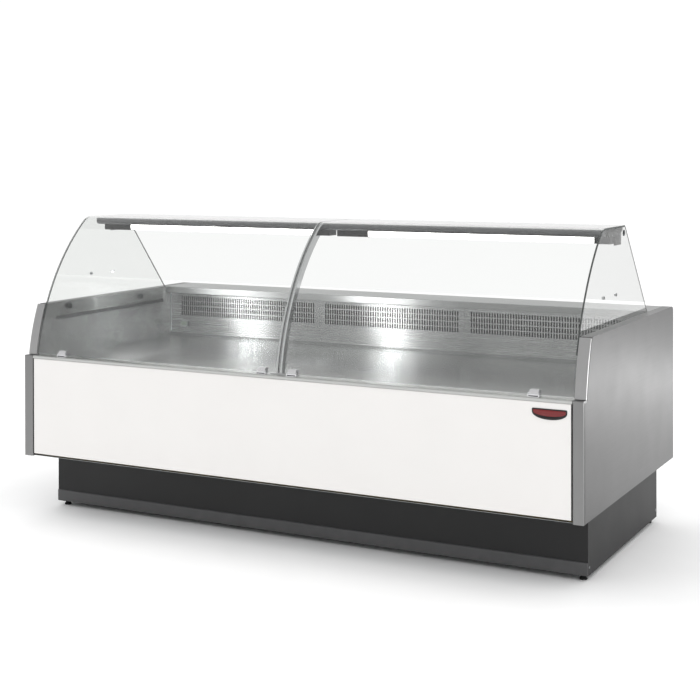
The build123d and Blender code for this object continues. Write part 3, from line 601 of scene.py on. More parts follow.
def turned(
    made: Mesh, profile: Sequence[Point], start: Point, direction: Point, steps: int = 28
) -> None:
    """Add a body turned on a lathe to a bmesh.

    Args:
        made: Mesh to add to.
        profile: Radius and distance along the axis, from one end to the other, in metres.
        start: Where the axis starts.
        direction: Unit axis.
        steps: Faces round the body.
    """
    turn = Vector((0, 0, 1)).rotation_difference(Vector(direction)).to_matrix().to_4x4()
    to_place = Matrix.Translation(Vector(start)) @ turn
    rings = []
    for radius, height in profile:
        spots = circle(radius, steps) if radius > 0 else [(0, 0)]
        rings.append([made.verts.new(to_place @ Vector((x, y, height))) for x, y in spots])
    join_rings(made, rings)
    for ring in (rings[0][::-1], rings[-1]):
        if len(ring) > 2:
            made.faces.new(ring)


def block(made: Mesh, low: Point, high: Point, bevel: float) -> None:
    """Add a box with rounded edges to a bmesh.

    Args:
        made: Mesh to add to.
        low: Lowest corner.
        high: Highest corner.
        bevel: Edge radius.
    """
    size = Vector(high) - Vector(low)
    middle = (Vector(high) + Vector(low)) / 2
    to_place = Matrix.Translation(middle) @ Matrix.Diagonal((*size, 1.0))
    corners = bmesh.ops.create_cube(made, size=1.0, matrix=to_place)["verts"]
    edges = list({edge for corner in corners for edge in corner.link_edges})
    bmesh.ops.bevel(
        made, geom=edges, offset=bevel, segments=3, profile=0.5, affect="EDGES", clamp_overlap=True
    )


def tube(made: Mesh, path: Sequence[Point], radius: float, steps: int = 12) -> None:
    """Add a round tube that follows a path to a bmesh.

    Args:
        made: Mesh to add to.
        path: Points of the centreline.
        radius: Tube radius.
        steps: Faces round the tube.
    """
    spots = [Vector(p) for p in path]
    # Any direction that no run follows gives the first ring its start.
    side = Vector((0.31, 0.67, 0.67)).normalized()
    rings = []
    for index, spot in enumerate(spots):
        ahead = spots[min(index + 1, len(spots) - 1)] - spots[max(index - 1, 0)]
        ahead.normalize()
        side = (side - ahead * side.dot(ahead)).normalized()
        other = ahead.cross(side)
        rings.append([made.verts.new(spot + side * x + other * y) for x, y in circle(radius, steps)])
    join_rings(made, rings)
    made.faces.new(rings[0][::-1])
    made.faces.new(rings[-1])


def rounded_path(corners: Sequence[Point], radius: float, steps: int = 6) -> list[Vector]:
    """Round the corners of a pipe run as a bending tool does.

    Args:
        corners: Points where the run changes direction.
        radius: Bend radius.
        steps: Points along each bend.

    Returns:
        Points of the run.
    """
    spots = [Vector(c) for c in corners]
    made = [spots[0]]
    for before, corner, after in zip(spots, spots[1:], spots[2:]):
        near = min(radius, (corner - before).length / 2, (after - corner).length / 2)
        start = corner + (before - corner).normalized() * near
        end = corner + (after - corner).normalized() * near
        for k in range(steps + 1):
            t = k / steps
            made.append(start.lerp(corner, t).lerp(corner.lerp(end, t), t))
    made.append(spots[-1])
    return made


def ground_edge(node: str, keep: Callable[[Vector, Vector], bool], body: str = "cabinet") -> None:
    """Lay a thin greenish skin over the ground edges of a pane.

    Args:
        node: CAD node of the pane.
        keep: Whether a face with this normal and centre is ground.
        body: The CAD body it moves with.
    """
    proud = 0.15 * MM
    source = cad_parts[node].data
    points: list[Point] = []
    faces: list[Sequence[int]] = []
    for face in source.polygons:
        if keep(face.normal, face.center):
            first = len(points)
            points += [source.vertices[i].co + face.normal * proud for i in face.vertices]
            faces.append(range(first, len(points)))
    add_piece(f"{node}_edge", (points, faces), GLASS_EDGE, body)


def rear_strip(node: str, path: Sequence[Point], radius: float, body: str = "cabinet") -> None:
    """Run a round rubber strip along a pane's rear edge.

    Args:
        node: CAD node of the pane.
        path: Ends of the strip.
        radius: Its radius.
        body: The CAD body it moves with.
    """
    made = bmesh.new()
    tube(made, path, radius)
    smooth(add_piece(f"{node}_rear_strip", made, SOFT_RUBBER, body))


@dataclass
class PanHeadScrews:
    """A set of pan-head screws with a round socket."""

    name: str
    radius: float = 4.2 * MM
    height: float = 2.0 * MM
    steps: int = 18

    def build(self, places: Iterable[tuple[Point, Point]]) -> Piece:
        """Make the screws.

        Args:
            places: Seat and outward direction of each head.

        Returns:
            One object holding every head.
        """
        made = bmesh.new()
        r, h = self.radius, self.height
        profile = [(r, 0), (r, h * 0.35), (r * 0.93, h * 0.7), (r * 0.72, h * 0.95), (r * 0.55, h)]
        socket = [(r * 0.5, h * 0.96), (r * 0.45, h * 0.3), (0, h * 0.25)]
        for seat, outward in places:
            turned(made, profile + socket, seat, outward, self.steps)
        return smooth(add_piece(self.name, made, SCREW_STEEL))


@dataclass
class SegmentDigits:
    """Seven-segment figures made of small bars."""

    name: str
    height: float
    facing: Point
    finish: Finish
    lit: ClassVar[dict[str, str]] = {"2": "abged", "5": "afgcd"}
    # Width, pitch and bar thickness as shares of the height, and a bar's share of its segment.
    width: ClassVar[float] = 0.5
    pitch: ClassVar[float] = 0.78
    thickness: ClassVar[float] = 0.11
    fill: ClassVar[float] = 0.86
    proud: ClassVar[float] = 0.05 * MM

    def build(self, text: str, centre: Point) -> Piece:
        """Make the figures.

        Args:
            text: Digits, with a point where wanted.
            centre: Middle of the row of figures, on the face they lie on.

        Returns:
            The figures as one piece.
        """
        made = bmesh.new()
        tall, pitch = self.height, self.height * self.pitch
        thick, half = self.height * self.thickness, self.height * self.width / 2
        # Middle of each segment, then its width and height.
        segments = {name: (0, tall / 2 * lift, half * 2, thick) for name, lift in zip("agd", (1, 0, -1))}
        for name, hand, lift in (("f", -1, 1), ("b", 1, 1), ("e", -1, -1), ("c", 1, -1)):
            segments[name] = (hand * half, lift * tall / 4, thick, tall / 2)
        cursor = -pitch * (sum(letter.isdigit() for letter in text) - 1) / 2
        for letter in text:
            if not letter.isdigit():
                self._bar(made, centre, (cursor - pitch / 2, -tall / 2), (thick, thick))
                continue
            for segment in self.lit[letter]:
                x, z, width, length = segments[segment]
                self._bar(made, centre, (cursor + x, z), (width * self.fill, length * self.fill))
            cursor += pitch
        return add_piece(self.name, made, self.finish)

    def _bar(self, made: Mesh, centre: Point, place: Point, size: Point) -> None:
        """Add one bar of a figure, facing outwards.

        Args:
            made: Mesh to add to.
            centre: Middle of the row of figures.
            place: The bar's middle, to the right and upwards from the centre.
            size: Its width and height.
        """
        outward = Vector(self.facing)
        right = Vector((0, 0, 1)).cross(outward).normalized()
        corners = []
        for hand, lift in ((-1, -1), (1, -1), (1, 1), (-1, 1)):
            across = right * (place[0] + hand * size[0] / 2)
            upward = Vector((0, 0, place[1] + lift * size[1] / 2))
            corners.append(made.verts.new(Vector(centre) + across + upward + outward * self.proud))
        made.faces.new(corners)


@dataclass(frozen=True)
class Readout:
    """Flat window with two figures on it."""

    name: str
    half_size: tuple[float, float]
    facing: int
    window: Finish
    figures: Finish
    digit_height: float
    bevel: float

    def build(self, middle: Point, back: float, front: float) -> None:
        """Make the window and its figures.

        Args:
            middle: Middle of the window in X and Z.
            back: Place of its back in Y.
            front: Place of its front in Y.
        """
        wide, tall = self.half_size
        x, z = middle
        made = bmesh.new()
        near, far = sorted((back, front))
        block(made, (x - wide, near, z - tall), (x + wide, far, z + tall), self.bevel)
        smooth(add_piece(f"{self.name}_window", made, self.window))
        facing = (0, self.facing, 0)
        digits = SegmentDigits(f"{self.name}_digits", self.digit_height, facing, self.figures)
        digits.build("2.5", (x, front + self.facing * 0.05 * MM, z))


@dataclass
class CustomerFace:
    """White panel, sill, end posts and the blank badge."""

    gasket_width: float = 4.5 * MM
    gasket_proud: float = 0.5 * MM
    badge_rim: float = 4.4 * MM
    badge_corner: float = 4.5 * MM
    badge_belly: float = 0.68
    badge_ends: float = 0.3
    dome_centre: float = 0.62
    bow_steps: int = 24
    corner_steps: int = 8

    def build(self) -> None:
        """Dress the face and make the badge."""
        dress(WHITE_ENAMEL, "front_panel")
        dress(SILL_BAR, "sill")
        dress(SATIN_POST, "end_post_left", "end_post_right")
        self._gaskets()
        self._badge()

    def _gaskets(self) -> None:
        """Rubber lips that close the joints between panel and posts."""
        low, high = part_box("front_panel")
        made = bmesh.new()
        for side in Side:
            post_low, post_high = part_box(f"end_post_{side.word}")
            joint = post_high.x if side is Side.LEFT else post_low.x
            left, right = sorted((joint, joint - side.value * self.gasket_width))
            front, back = low.y - self.gasket_proud, low.y + self.gasket_proud
            block(made, (left, front, low.z), (right, back, high.z), 0.3 * MM)
        smooth(add_piece("post_gaskets", made, SOFT_RUBBER))

    def _outline(self, inset: float, belly: float) -> list[tuple[float, float]]:
        """Boat-shaped outline in X and Z, straight above and bowed below.

        Args:
            inset: Distance inside the badge's edge.
            belly: Share of the full depth of the bow.

        Returns:
            Points anticlockwise as the customer sees them.
        """
        low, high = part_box("badge")
        middle = (low.x + high.x) / 2
        half = (high.x - low.x) / 2 - inset
        top = high.z - inset
        ends = high.z - (high.z - low.z) * self.badge_ends
        drop = (ends - low.z - inset) * belly
        corner = self.badge_corner
        made = []
        for k in range(self.bow_steps + 1):
            t = math.pi * k / self.bow_steps
            # A power just under 1 makes the bow a little fuller than a half wave.
            made.append((middle - half * math.cos(t), ends - drop * math.sin(t) ** 0.9))
        for hand in (1, -1):
            for k in range(self.corner_steps + 1):
                t = math.pi / 2 * (k if hand > 0 else self.corner_steps - k) / self.corner_steps
                x = middle + hand * (half - corner + corner * math.cos(t))
                made.append((x, top - corner + corner * math.sin(t)))
        return made

    def _badge(self) -> None:
        """Dark rim with a domed red face set in it."""
        low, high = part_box("badge")
        rim, belly, front = self.badge_rim, self.badge_belly, low.y
        # Inset, share of the bow and place in Y of each ring, from the back round to the face.
        rings = ((0, 1, high.y), (0, 1, front + 0.9 * MM))
        rings += ((0.5 * MM, 1, front + 0.25 * MM), (1.3 * MM, 1, front))
        rings += ((rim - 0.6 * MM, belly + 0.04, front + 0.2 * MM), (rim, belly, front + 1.1 * MM))
        made = bmesh.new()
        outlines = [(self._outline(inset, share), y) for inset, share, y in rings]
        join_rings(made, [[made.verts.new((x, y, z)) for x, z in line] for line, y in outlines])
        piece = smooth(add_piece("badge_rim", made, BADGE_RIM))
        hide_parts("badge")
        made = bmesh.new()
        centre = Vector(((low.x + high.x) / 2, low.z + (high.z - low.z) * self.dome_centre))
        edge = [Vector(spot) for spot in self._outline(rim, belly)]
        shells = []
        # The dome's rings, as shares of the rim's inner edge and depths behind the front.
        for share, depth_mm in ((1, 1), (0.94, 0.6), (0.85, 0.35), (0.6, 0.15), (0.25, 0.08)):
            spots = [centre.lerp(spot, share) for spot in edge]
            shells.append([made.verts.new((x, front + depth_mm * MM, z)) for x, z in spots])
        join_rings(made, shells)
        made.faces.new(shells[-1])
        smooth(add_piece("badge_face", made, RED_LACQUER))


@dataclass
class SideWalls:
    """Stainless side walls with their curved trims and foam cores."""

    # The side sheets carry painted shade in their darker tint.
    side_finish: BrushedSheet = SHADED_SIDE_STEEL
    liner_finish: BrushedSheet = STEEL_INSIDE

    def build(self) -> None:
        """Dress both walls."""
        for side in Side:
            dress(self.side_finish, f"side_panel_{side.word}")
            dress(TRIM_BAR, f"side_trim_{side.word}")
        dress(self.liner_finish, "side_liners")
        dress(FOAM, "insulation")


@dataclass
class DisplayTub:
    """Refrigerated tub: deck plates, slotted back panels, worktop and thermometer."""

    # Pleats, thickness and reach of the near-black sheet of painted shade behind the air slots.
    pleat: float = 9 * MM
    pleat_near: float = 8 * MM
    pleat_far: float = 14 * MM
    sheet_thickness: float = 2 * MM
    sheet_margin: float = 15 * MM
    sheet_foot: float = 160 * MM
    sheet_head: float = 30 * MM
    screw_drop: float = 28 * MM
    screw_shares: tuple[float, ...] = (0.06, 0.5, 0.94)
    bead: float = 1.12 * MM
    liner_skin: float = 1.2 * MM
    thermometer: Readout = Readout(
        "thermometer", (14.5 * MM, 8.5 * MM), -1, LIQUID_CRYSTAL, SEGMENT_BLACK, 9 * MM, 0.2 * MM
    )
    window_height: float = 18 * MM

    def build(self) -> None:
        """Dress the tub and add its seals, fixings and thermometer face."""
        for word in THIRDS:
            dress(STEEL_DECK, f"deck_plate_{word}")
            dress(STEEL_INSIDE, f"back_panel_{word}")
        dress(STEEL_INSIDE, "tub_liner", "deck_bearers")
        dress(STEEL_TOP, "rear_worktop")
        dress(ZINC, "rear_panel", "fan_shelf")
        dress(GREY_ABS, "thermometer")
        for word in THIRDS:
            self._slot_shade(word)
        self._back_screws()
        self._seals()
        low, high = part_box("thermometer")
        middle = ((low.x + high.x) / 2, low.z + self.window_height)
        self.thermometer.build(middle, low.y + 1 * MM, low.y + 0.35 * MM)

    def _slot_shade(self, word: str) -> None:
        """Pleated near-black sheet behind a panel's air slots, painted shade for the unlit cavity behind
        them.

        Args:
            word: Which third of the length it covers.
        """
        low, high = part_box(f"back_panel_{word}")
        count = round((high.x - low.x - 2 * self.sheet_margin) / self.pleat)
        start = (high.x + low.x) / 2 - count * self.pleat / 2
        bottom, top = high.z - self.sheet_foot, high.z - self.sheet_head
        points: list[Point] = []
        faces: list[Sequence[int]] = []
        for k in range(2 * count + 1):
            x = start + k * self.pleat / 2
            front = high.y + (self.pleat_near if k % 2 else self.pleat_far)
            points += [(x, y, z) for y in (front, front + self.sheet_thickness) for z in (bottom, top)]
        for k in range(2 * count):
            a, b = 4 * k, 4 * k + 4
            faces += [(a, b, b + 1, a + 1), (b + 2, a + 2, a + 3, b + 3)]
            faces += [(a + 1, b + 1, b + 3, a + 3), (b, a, a + 2, b + 2)]
        end = 8 * count
        faces += [(0, 1, 3, 2), (end + 1, end, end + 2, end + 3)]
        add_piece(f"air_filter_{word}", (points, faces), SLOT_SHADE_SHEET)

    def _back_screws(self) -> None:
        """Small screws that hold the back panels along their top."""
        places = []
        for word in THIRDS:
            low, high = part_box(f"back_panel_{word}")
            for share in self.screw_shares:
                x = low.x + (high.x - low.x) * share
                places.append(((x, low.y, high.z - self.screw_drop), (0, -1, 0)))
        PanHeadScrews("back_panel_screws", radius=3.2 * MM, height=1.5 * MM).build(places)

    def _seals(self) -> None:
        """Silicone beads where the tub's corners meet."""
        made = bmesh.new()
        low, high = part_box("back_panel_left")
        x = -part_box("side_liners")[0].x - self.liner_skin - 0.88 * MM
        y = low.y - 0.64 * MM
        for hand in (-1, 1):
            path = [(hand * x, y, low.z + 20 * MM), (hand * x, y, high.z - 2 * MM)]
            tube(made, path, self.bead, steps=8)
        smooth(add_piece("corner_seals", made, CLEAR_BUFFER))


@dataclass
class Canopy:
    """Hollow canopy with its end caps, lamps and screws."""

    cap_shares: tuple[float, float] = (0.3, 0.72)
    screw_from_foot: float = 9 * MM
    screw_from_edge: float = 12.5 * MM
    screw_from_top: float = 12 * MM
    screw_from_kick: float = 30 * MM

    def build(self) -> None:
        """Dress the canopy and replace the plain screw heads."""
        dress(SHADED_CANOPY_BAR, "canopy")
        for side in Side:
            dress(BLACK_ABS, f"canopy_end_cap_{side.word}")
            dress(OPAL, f"lamp_{side.word}")
        dress(DARK_ABS, "lamp_holders")
        self._screws()

    def _screws(self) -> None:
        """Pan-head screws in the end caps and down the plinth's sides."""
        cap_low, cap_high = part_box("canopy_end_cap_right")
        low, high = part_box("plinth_sides")
        cap_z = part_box("canopy")[0].z + self.screw_from_foot
        depth = cap_high.y - cap_low.y
        seats = [(cap_high.x, cap_low.y + depth * share, cap_z) for share in self.cap_shares]
        for y in (low.y + self.screw_from_edge, high.y - self.screw_from_edge):
            for z in (high.z - self.screw_from_top, low.z + self.screw_from_kick):
                seats.append((high.x, y, z))
        places = [((side.value * x, y, z), (side.value, 0, 0)) for side in Side for x, y, z in seats]
        heads = PanHeadScrews("cap_and_plinth_screws", height=1.4 * MM).build(places)
        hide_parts("screws")


@dataclass
class FrontGlass:
    """The two curved panes, their hinges and the bright post between them."""

    strip_radius: float = 1.8 * MM
    strip_inset: float = 1 * MM

    def build(self) -> None:
        """Dress the panes, post and hinges and add the ground edges."""
        for side in Side:
            node, body = f"front_glass_{side.word}", f"glass_{side.word}"
            dress(GLASS, node)
            dress(BRIGHT_BAR, f"glass_clamps_{side.word}")
            low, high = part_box(node)
            rear = high.y - 1 * MM
            ground_edge(
                node, lambda turn, at: abs(turn.x) > 0.9 or (turn.y > 0.9 and at.y > rear), body
            )
            y, z = high.y + self.strip_radius * 0.6, high.z - self.strip_radius - 0.1 * MM
            path = [(low.x + self.strip_inset, y, z), (high.x - self.strip_inset, y, z)]
            rear_strip(node, path, self.strip_radius, body)
        dress(CHROME, "centre_post", "hinge_pins")
        dress(BRIGHT_BAR, "hinge_bases")


@dataclass
class EndPanes:
    """Flat end panes with their rails, knobs, buffers and discs."""

    strip_radius: float = 3.2 * MM
    strip_gap: float = 3 * MM
    knob_radius: float = 12.5 * MM
    knob_length: float = 10 * MM
    stud_radius: float = 4 * MM
    disc_depth: float = 3 * MM
    # Places in Y from the counter's front or the pane's rear, and in Z from the pane's foot.
    front_knob: Point = (0.242, 0.042)
    rear_knob: Point = (-0.207, 0.036)
    buffers: tuple[Point, Point] = ((0.395, 0.176), (0.555, 0.174))
    disc: Point = (0.645, 0.03)

    def build(self) -> None:
        """Dress the panes and make their fixings."""
        for side in Side:
            node = f"end_pane_{side.word}"
            dress(GLASS, node)
            ground_edge(node, lambda turn, at: abs(turn.x) < 0.2)
            rear_strip(node, self._rear_edge(node), self.strip_radius)
        dress(RAIL_BAR, "pane_rails")
        self._fixings()

    def _rear_edge(self, node: str) -> list[Point]:
        """Find the pane's sloping rear edge above the worktop.

        Args:
            node: CAD node of the pane.

        Returns:
            The edge's lower and upper end.
        """
        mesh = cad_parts[node].data
        sloping = [f for f in mesh.polygons if abs(f.normal.x) < 0.2 and f.normal.y > 0.5]
        longest = max(sloping, key=lambda face: face.area)
        corners = sorted((mesh.vertices[i].co for i in longest.vertices), key=lambda p: p.z)
        foot, head = corners[0], corners[-1]
        pane_low, pane_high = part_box(node)
        x = (pane_low.x + pane_high.x) / 2
        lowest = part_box("rear_worktop")[1].z + self.strip_gap
        start = foot.lerp(head, max(0.0, (lowest - foot.z) / (head.z - foot.z)))
        return [(x, start.y, start.z), (x, head.y, head.z)]

    def _fixings(self) -> None:
        """Turned knobs and discs, and the soft buffers."""
        pane_low, pane_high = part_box("end_pane_right")
        cap_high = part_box("canopy_end_cap_right")[1]
        front, foot, rear = CAD_BOX[0][1], pane_low.z, pane_high.y
        r, h, stud_r = self.knob_radius, self.knob_length, self.stud_radius
        knob = [(r * 0.8, 0), (r * 0.8, h * 0.15), (r, h * 0.25), (r, h * 0.72), (r * 0.93, h * 0.88)]
        knob += [(r * 0.75, h * 0.98), (r * 0.5, h * 0.93), (0, h * 0.9)]
        stud = [(stud_r, 0), (stud_r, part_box("pane_rails")[1].x - pane_low.x)]
        low_r = r / 2
        buffer = [(low_r, 0), (low_r, h * 0.6), (low_r * 0.85, h * 0.9), (low_r * 0.5, h), (0, h)]
        disc = [(stud_r, cap_high.x - pane_high.x), (stud_r, -0.2 * MM), (r, 0), (r, 2 * MM)]
        disc += [(r * 0.85, self.disc_depth), (0, self.disc_depth)]
        knobs, buffers = bmesh.new(), bmesh.new()
        for side in Side:
            hand = side.value
            inner, outward = hand * pane_low.x, (hand, 0, 0)
            for edge, (y, z) in ((front, self.front_knob), (rear, self.rear_knob)):
                turned(knobs, knob, (inner, edge + y, foot + z), (-hand, 0, 0))
                turned(knobs, stud, (inner, edge + y, foot + z), outward, steps=16)
            for y, z in self.buffers:
                turned(buffers, buffer, (inner, front + y, foot + z), (-hand, 0, 0))
            place = (hand * pane_high.x, front + self.disc[0], CAD_BOX[1][2] - self.disc[1])
            turned(knobs, disc, place, outward)
        made = smooth(add_piece("pane_knobs", knobs, SMOKED_CHROME))
        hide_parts("pane_fixings")
        smooth(add_piece("pane_buffers", buffers, CLEAR_BUFFER))


@dataclass
class Plinth:
    """Recessed plinth, base frame and levelling feet."""

    foot_radius: float = 15 * MM
    stud_radius: float = 5 * MM
    thread_root: float = 4.3 * MM
    thread_pitch: float = 3 * MM
    nut_top: float = 24 * MM
    turns: int = 9

    def build(self) -> None:
        """Dress the plinth and make the feet."""
        dress(CHARCOAL, "plinth_front", "plinth_sides", "plinth_rear_grille")
        dress(KICK_STRIP_PARTLY_LIT, "kick_strip")
        dress(ZINC, "base_frame")
        self._feet()

    def _feet(self) -> None:
        """Moulded swivel feet on zinc-plated studs."""
        low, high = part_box("levelling_feet")
        r, top = self.foot_radius, self.nut_top
        pad = [(r * 0.94, 0), (r, 1.5 * MM), (r, 5 * MM), (r * 0.8, 9 * MM), (r * 0.62, 12 * MM)]
        nut = [(10.5 * MM, 12 * MM), (11 * MM, 13 * MM), (11 * MM, 23 * MM), (10.2 * MM, top)]
        stud = [(self.stud_radius, top)]
        for k in range(self.turns):
            crest = top + 1 * MM + k * self.thread_pitch
            stud += [(self.stud_radius, crest), (self.thread_root, crest + self.thread_pitch / 2)]
        pads, studs = bmesh.new(), bmesh.new()
        for x in (low.x + r, high.x - r):
            for y in (low.y + r, high.y - r):
                turned(pads, pad, (x, y, 0), (0, 0, 1))
                turned(pads, nut, (x, y, 0), (0, 0, 1), steps=6)
                turned(studs, stud, (x, y, 0), (0, 0, 1), steps=16)
        made = smooth(add_piece("foot_pads", pads, SOFT_RUBBER))
        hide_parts("levelling_feet")
        smooth(add_piece("foot_studs", studs, SCREW_STEEL))


@dataclass
class Refrigeration:
    """Evaporator and fans under the deck, condensing unit in the plinth, copper pipework."""

    coil_tube: float = 6.5 * MM
    bend_reach: float = 26 * MM
    bend_overlap: float = 8 * MM
    bend_radius: float = 24 * MM
    tray_depth: float = 22 * MM
    rows: int = 5
    columns: int = 3
    suction: float = 6 * MM
    liquid: float = 4 * MM

    def build(self) -> None:
        """Dress the machinery and run its pipes."""
        dress(FIN_STOCK, "evaporator")
        dress(ZINC, "condenser")
        dress(BLACK_ENAMEL, "compressor", "fan_motors", "condenser_motor")
        dress(BLACK_ABS, "condenser_fan", *(f"evaporator_fan_{word}" for word in THIRDS))
        self._return_bends()
        self._pipes()

    def _return_bends(self) -> None:
        """Copper bends that join the evaporator's tubes at both ends."""
        low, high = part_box("evaporator")
        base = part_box("fan_shelf")[0].z + self.tray_depth
        rise = (high.z - base) / self.rows
        made = bmesh.new()
        for hand, face, starts in ((-1, low.x, (1, 3)), (1, high.x, (2,))):
            near, far = face - hand * self.bend_overlap, face + hand * self.bend_reach
            for column in range(1, self.columns):
                y = low.y + column * (high.y - low.y) / self.columns
                for z in (base + row * rise for row in starts):
                    corners = [(near, y, z), (far, y, z), (far, y, z + rise), (near, y, z + rise)]
                    tube(made, rounded_path(corners, self.bend_radius), self.coil_tube)
        smooth(add_piece("evaporator_return_bends", made, COPPER))

    def _pipes(self) -> None:
        """Discharge and suction pipes between compressor and condenser."""
        low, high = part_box("compressor")
        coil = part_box("condenser")[1]
        middle_y = (low.y + high.y) / 2
        out_x = low.x + 28 * MM
        side_x, side_y, side_z = out_x - 60 * MM, middle_y + 30 * MM, low.z + 70 * MM
        coil_y, coil_z = coil.y - 22 * MM, coil.z - 24 * MM
        discharge = [(out_x + 12 * MM, side_y, side_z), (side_x, side_y, side_z)]
        discharge += [(side_x, coil_y, side_z), (side_x, coil_y, coil_z)]
        discharge += [(coil.x + 8 * MM, coil_y, coil_z)]
        back_x, back_y, back_z = out_x - 45 * MM, middle_y - 30 * MM, low.z + 50 * MM
        over = high.z + 22 * MM
        suction = [(out_x + 14 * MM, back_y, back_z), (back_x, back_y, back_z)]
        suction += [(back_x, back_y, over), (high.x + 60 * MM, back_y, over)]
        made = bmesh.new()
        tube(made, rounded_path(discharge, 22 * MM), self.liquid)
        tube(made, rounded_path(suction, 26 * MM), self.suction)
        smooth(add_piece("refrigerant_pipes", made, COPPER))


@dataclass
class ServerControls:
    """Bezel with its display and rockers, the cable gland and the rear fixings."""

    display: Readout = Readout(
        "control", (24.5 * MM, 11.5 * MM), 1, BLACK_ENAMEL, LED_RED, 13 * MM, 0.15 * MM
    )
    display_from_edge: float = 53 * MM
    screws_per_row: int = 8
    screw_from_end: float = 30 * MM
    screw_from_foot: float = 18 * MM
    screw_from_head: float = 45 * MM
    plate_size: tuple[float, float] = (0.09, 0.05)
    plate_from_end: float = 0.16
    plate_from_foot: float = 0.1
    rivet_inset: float = 5 * MM

    def build(self) -> None:
        """Dress the controls and add display, rating plate and screws."""
        dress(DARK_ABS, "control_panel")
        dress(BLACK_ABS, "power_switch", "lamp_switch", "inlet_gland")
        low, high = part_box("control_panel")
        middle, face = (low.x + self.display_from_edge, (low.z + high.z) / 2), high.y - 1 * MM
        self.display.build(middle, face + 0.05 * MM, face + 0.5 * MM)
        self._rear_screws()
        self._rating_plate()

    def _rear_screws(self) -> None:
        """Screws round the rear skin, over the foam."""
        low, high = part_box("rear_panel")
        span = high.x - low.x - 2 * self.screw_from_end
        places = []
        for k in range(self.screws_per_row):
            x = low.x + self.screw_from_end + span * k / (self.screws_per_row - 1)
            for z in (low.z + self.screw_from_foot, high.z - self.screw_from_head):
                places.append(((x, high.y, z), (0, 1, 0)))
        PanHeadScrews("rear_screws", radius=4.5 * MM).build(places)

    def _rating_plate(self) -> None:
        """Blank aluminium plate with four rivets."""
        low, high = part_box("rear_panel")
        width, tall = self.plate_size
        x, z, face = high.x - self.plate_from_end, low.z + self.plate_from_foot, high.y + 0.8 * MM
        made = bmesh.new()
        block(made, (x, high.y + 0.02 * MM, z), (x + width, face, z + tall), 0.3 * MM)
        dome = [(1.8 * MM, 0), (1.5 * MM, 0.5 * MM), (0.8 * MM, 0.8 * MM), (0, 0.9 * MM)]
        for rivet_x in (x + self.rivet_inset, x + width - self.rivet_inset):
            for rivet_z in (z + self.rivet_inset, z + tall - self.rivet_inset):
                turned(made, dome, (rivet_x, face, rivet_z), (0, 1, 0), steps=14)
        smooth(add_piece("rating_plate", made, SATIN_BAR))


@dataclass
class SoftLight:
    """One studio softbox, unseen by the camera."""

    name: str
    place: Point
    aim: Point
    size: tuple[float, float]
    watts: float
    mirrored: bool = True

    def build(self) -> None:
        """Make the light and turn it to its aim."""
        lamp = bpy.data.lights.new(self.name, "AREA")
        lamp.shape = "RECTANGLE"
        lamp.size, lamp.size_y = self.size
        lamp.energy = self.watts
        holder = bpy.data.objects.new(self.name, lamp)
        holder.location = self.place
        towards = Vector(self.aim) - Vector(self.place)
        holder.rotation_euler = towards.to_track_quat("-Z", "Y").to_euler()
        holder.visible_camera = False
        holder.visible_glossy = self.mirrored
        holder.visible_transmission = self.mirrored
        bpy.context.scene.collection.objects.link(holder)
        LOG.info("light %s, %g W", self.name, self.watts)


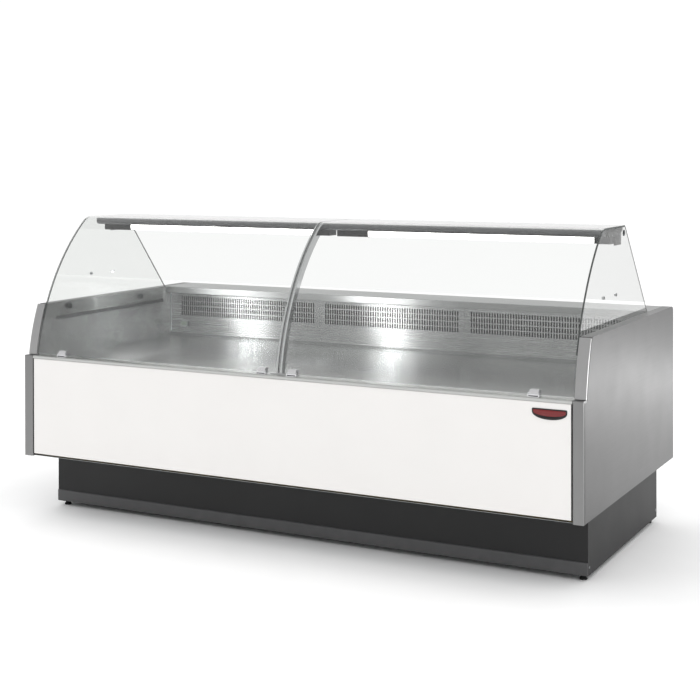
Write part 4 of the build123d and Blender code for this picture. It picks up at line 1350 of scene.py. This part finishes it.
@dataclass
class Studio:
    """Pale floor, white surround, softboxes and the camera."""

    camera_place: Point = (2.778, -5.2875, 1.563)
    camera_turn: Point = (89.616, 0.088, 27.457)
    lens_mm: float = 70.943
    sensor_mm: float = 36.0
    shift: tuple[float, float] = (-0.0045, -0.2669)
    floor_half: float = 9.0
    overhead: str = "#d2d2d2"
    # Height over which the drapes give way to the overhead shade, as a direction's Z.
    overhead_start: float = 0.3
    overhead_full: float = 0.62
    brightness: float = 1.06
    # Compass bearing from the rear wall's normal, positive towards the right end, and shade.
    drapes: tuple[tuple[float, str], ...] = (
        (-180.0, "#d2d2d2"),
        (-120.0, "#d2d2d2"),
        (-70.0, "#ffffff"),
        (-8.0, "#ffffff"),
        (8.0, "#dcdcdc"),
        (24.0, "#cccccc"),
        (120.0, "#cccccc"),
        (180.0, "#d2d2d2"),
    )
    lights: tuple[SoftLight, ...] = (
        SoftLight("overhead_silk", (0, 1.0, 7.0), (0, 1.0, 0), (26, 26), 1800, False),
        SoftLight("glare_left", (-1.17, -0.2, 0.98), (-0.9, 0.29, 0.72), (0.07, 0.07), 5),
        SoftLight("glare_centre", (-0.32, -0.2, 0.98), (-0.08, 0.29, 0.72), (0.07, 0.07), 5),
        SoftLight("right_low_band", (2.75, 3.2, 0.13), (1.26, 0.3, 0.65), (1.6, 0.14), 4.5),
    )

    def build(self) -> None:
        """Make everything that isn't the object."""
        self._floor()
        self._world()
        self._camera()
        for light in self.lights:
            light.build()

    def _floor(self) -> None:
        """Plain pale floor just under the feet."""
        half = self.floor_half
        points = [(-half, -half, 0), (half, -half, 0), (half, half, 0), (-half, half, 0)]
        mesh = bpy.data.meshes.new("floor")
        mesh.from_pydata(points, [], [(0, 1, 2, 3)])
        mesh.materials.append(PALE_FLOOR.material())
        floor = bpy.data.objects.new("floor", mesh)
        bpy.context.scene.collection.objects.link(floor)

    def _world(self) -> None:
        """White surround behind the counter, grey drapes elsewhere and overhead."""
        world = bpy.data.worlds.new("studio_surround")
        world.use_nodes = True
        world.node_tree.nodes.clear()
        where = add_node(world, "TexCoord").outputs["Generated"]
        x, y, z = add_node(world, "SeparateXYZ", {0: where}).outputs
        angle = add_node(world, "Math", {0: x, 1: y}, operation="ARCTAN2").outputs[0]
        turn = {"Value": angle, "From Min": -math.pi, "From Max": math.pi}
        share = add_node(world, "MapRange", turn).outputs[0]
        drapes = add_node(world, "ValToRGB", {"Fac": share})
        stops = drapes.color_ramp
        stops.interpolation = "EASE"
        for bearing, shade in self.drapes:
            place = bearing / 360 + 0.5
            if place in (0.0, 1.0):
                stop = stops.elements[0 if place == 0.0 else -1]
            else:
                stop = stops.elements.new(place)
            stop.color = linear(shade)
        climb = {"Value": z, "From Min": self.overhead_start, "From Max": self.overhead_full}
        height = add_node(world, "MapRange", climb).outputs[0]
        blend = {0: height, 6: drapes.outputs["Color"], 7: linear(self.overhead)}
        colour = add_node(world, "Mix", blend, data_type="RGBA").outputs[2]
        sky = add_node(world, "Background", {"Color": colour, "Strength": self.brightness})
        add_node(world, "OutputWorld", {"Surface": sky.outputs[0]})
        bpy.context.scene.world = world
        bpy.context.scene.view_settings.view_transform = "Standard"

    def _camera(self) -> None:
        """Camera in front of the right end, at standing height."""
        lens = bpy.data.cameras.new("camera")
        lens.lens = self.lens_mm
        lens.sensor_width = self.sensor_mm
        lens.shift_x, lens.shift_y = self.shift
        camera = bpy.data.objects.new("camera", lens)
        camera.location = self.camera_place
        camera.rotation_euler = [math.radians(a) for a in self.camera_turn]
        bpy.context.scene.collection.objects.link(camera)
        bpy.context.scene.camera = camera


def main() -> None:
    """Build the counter, then its studio."""
    logging.basicConfig(level=logging.INFO)
    parts = (
        CustomerFace(),
        SideWalls(),
        DisplayTub(),
        Canopy(),
        FrontGlass(),
        EndPanes(),
        Plinth(),
        Refrigeration(),
        ServerControls(),
        Studio(),
    )
    for part in parts:
        part.build()
        LOG.info("%s done", type(part).__name__)


if __name__ == "__main__":
    main()
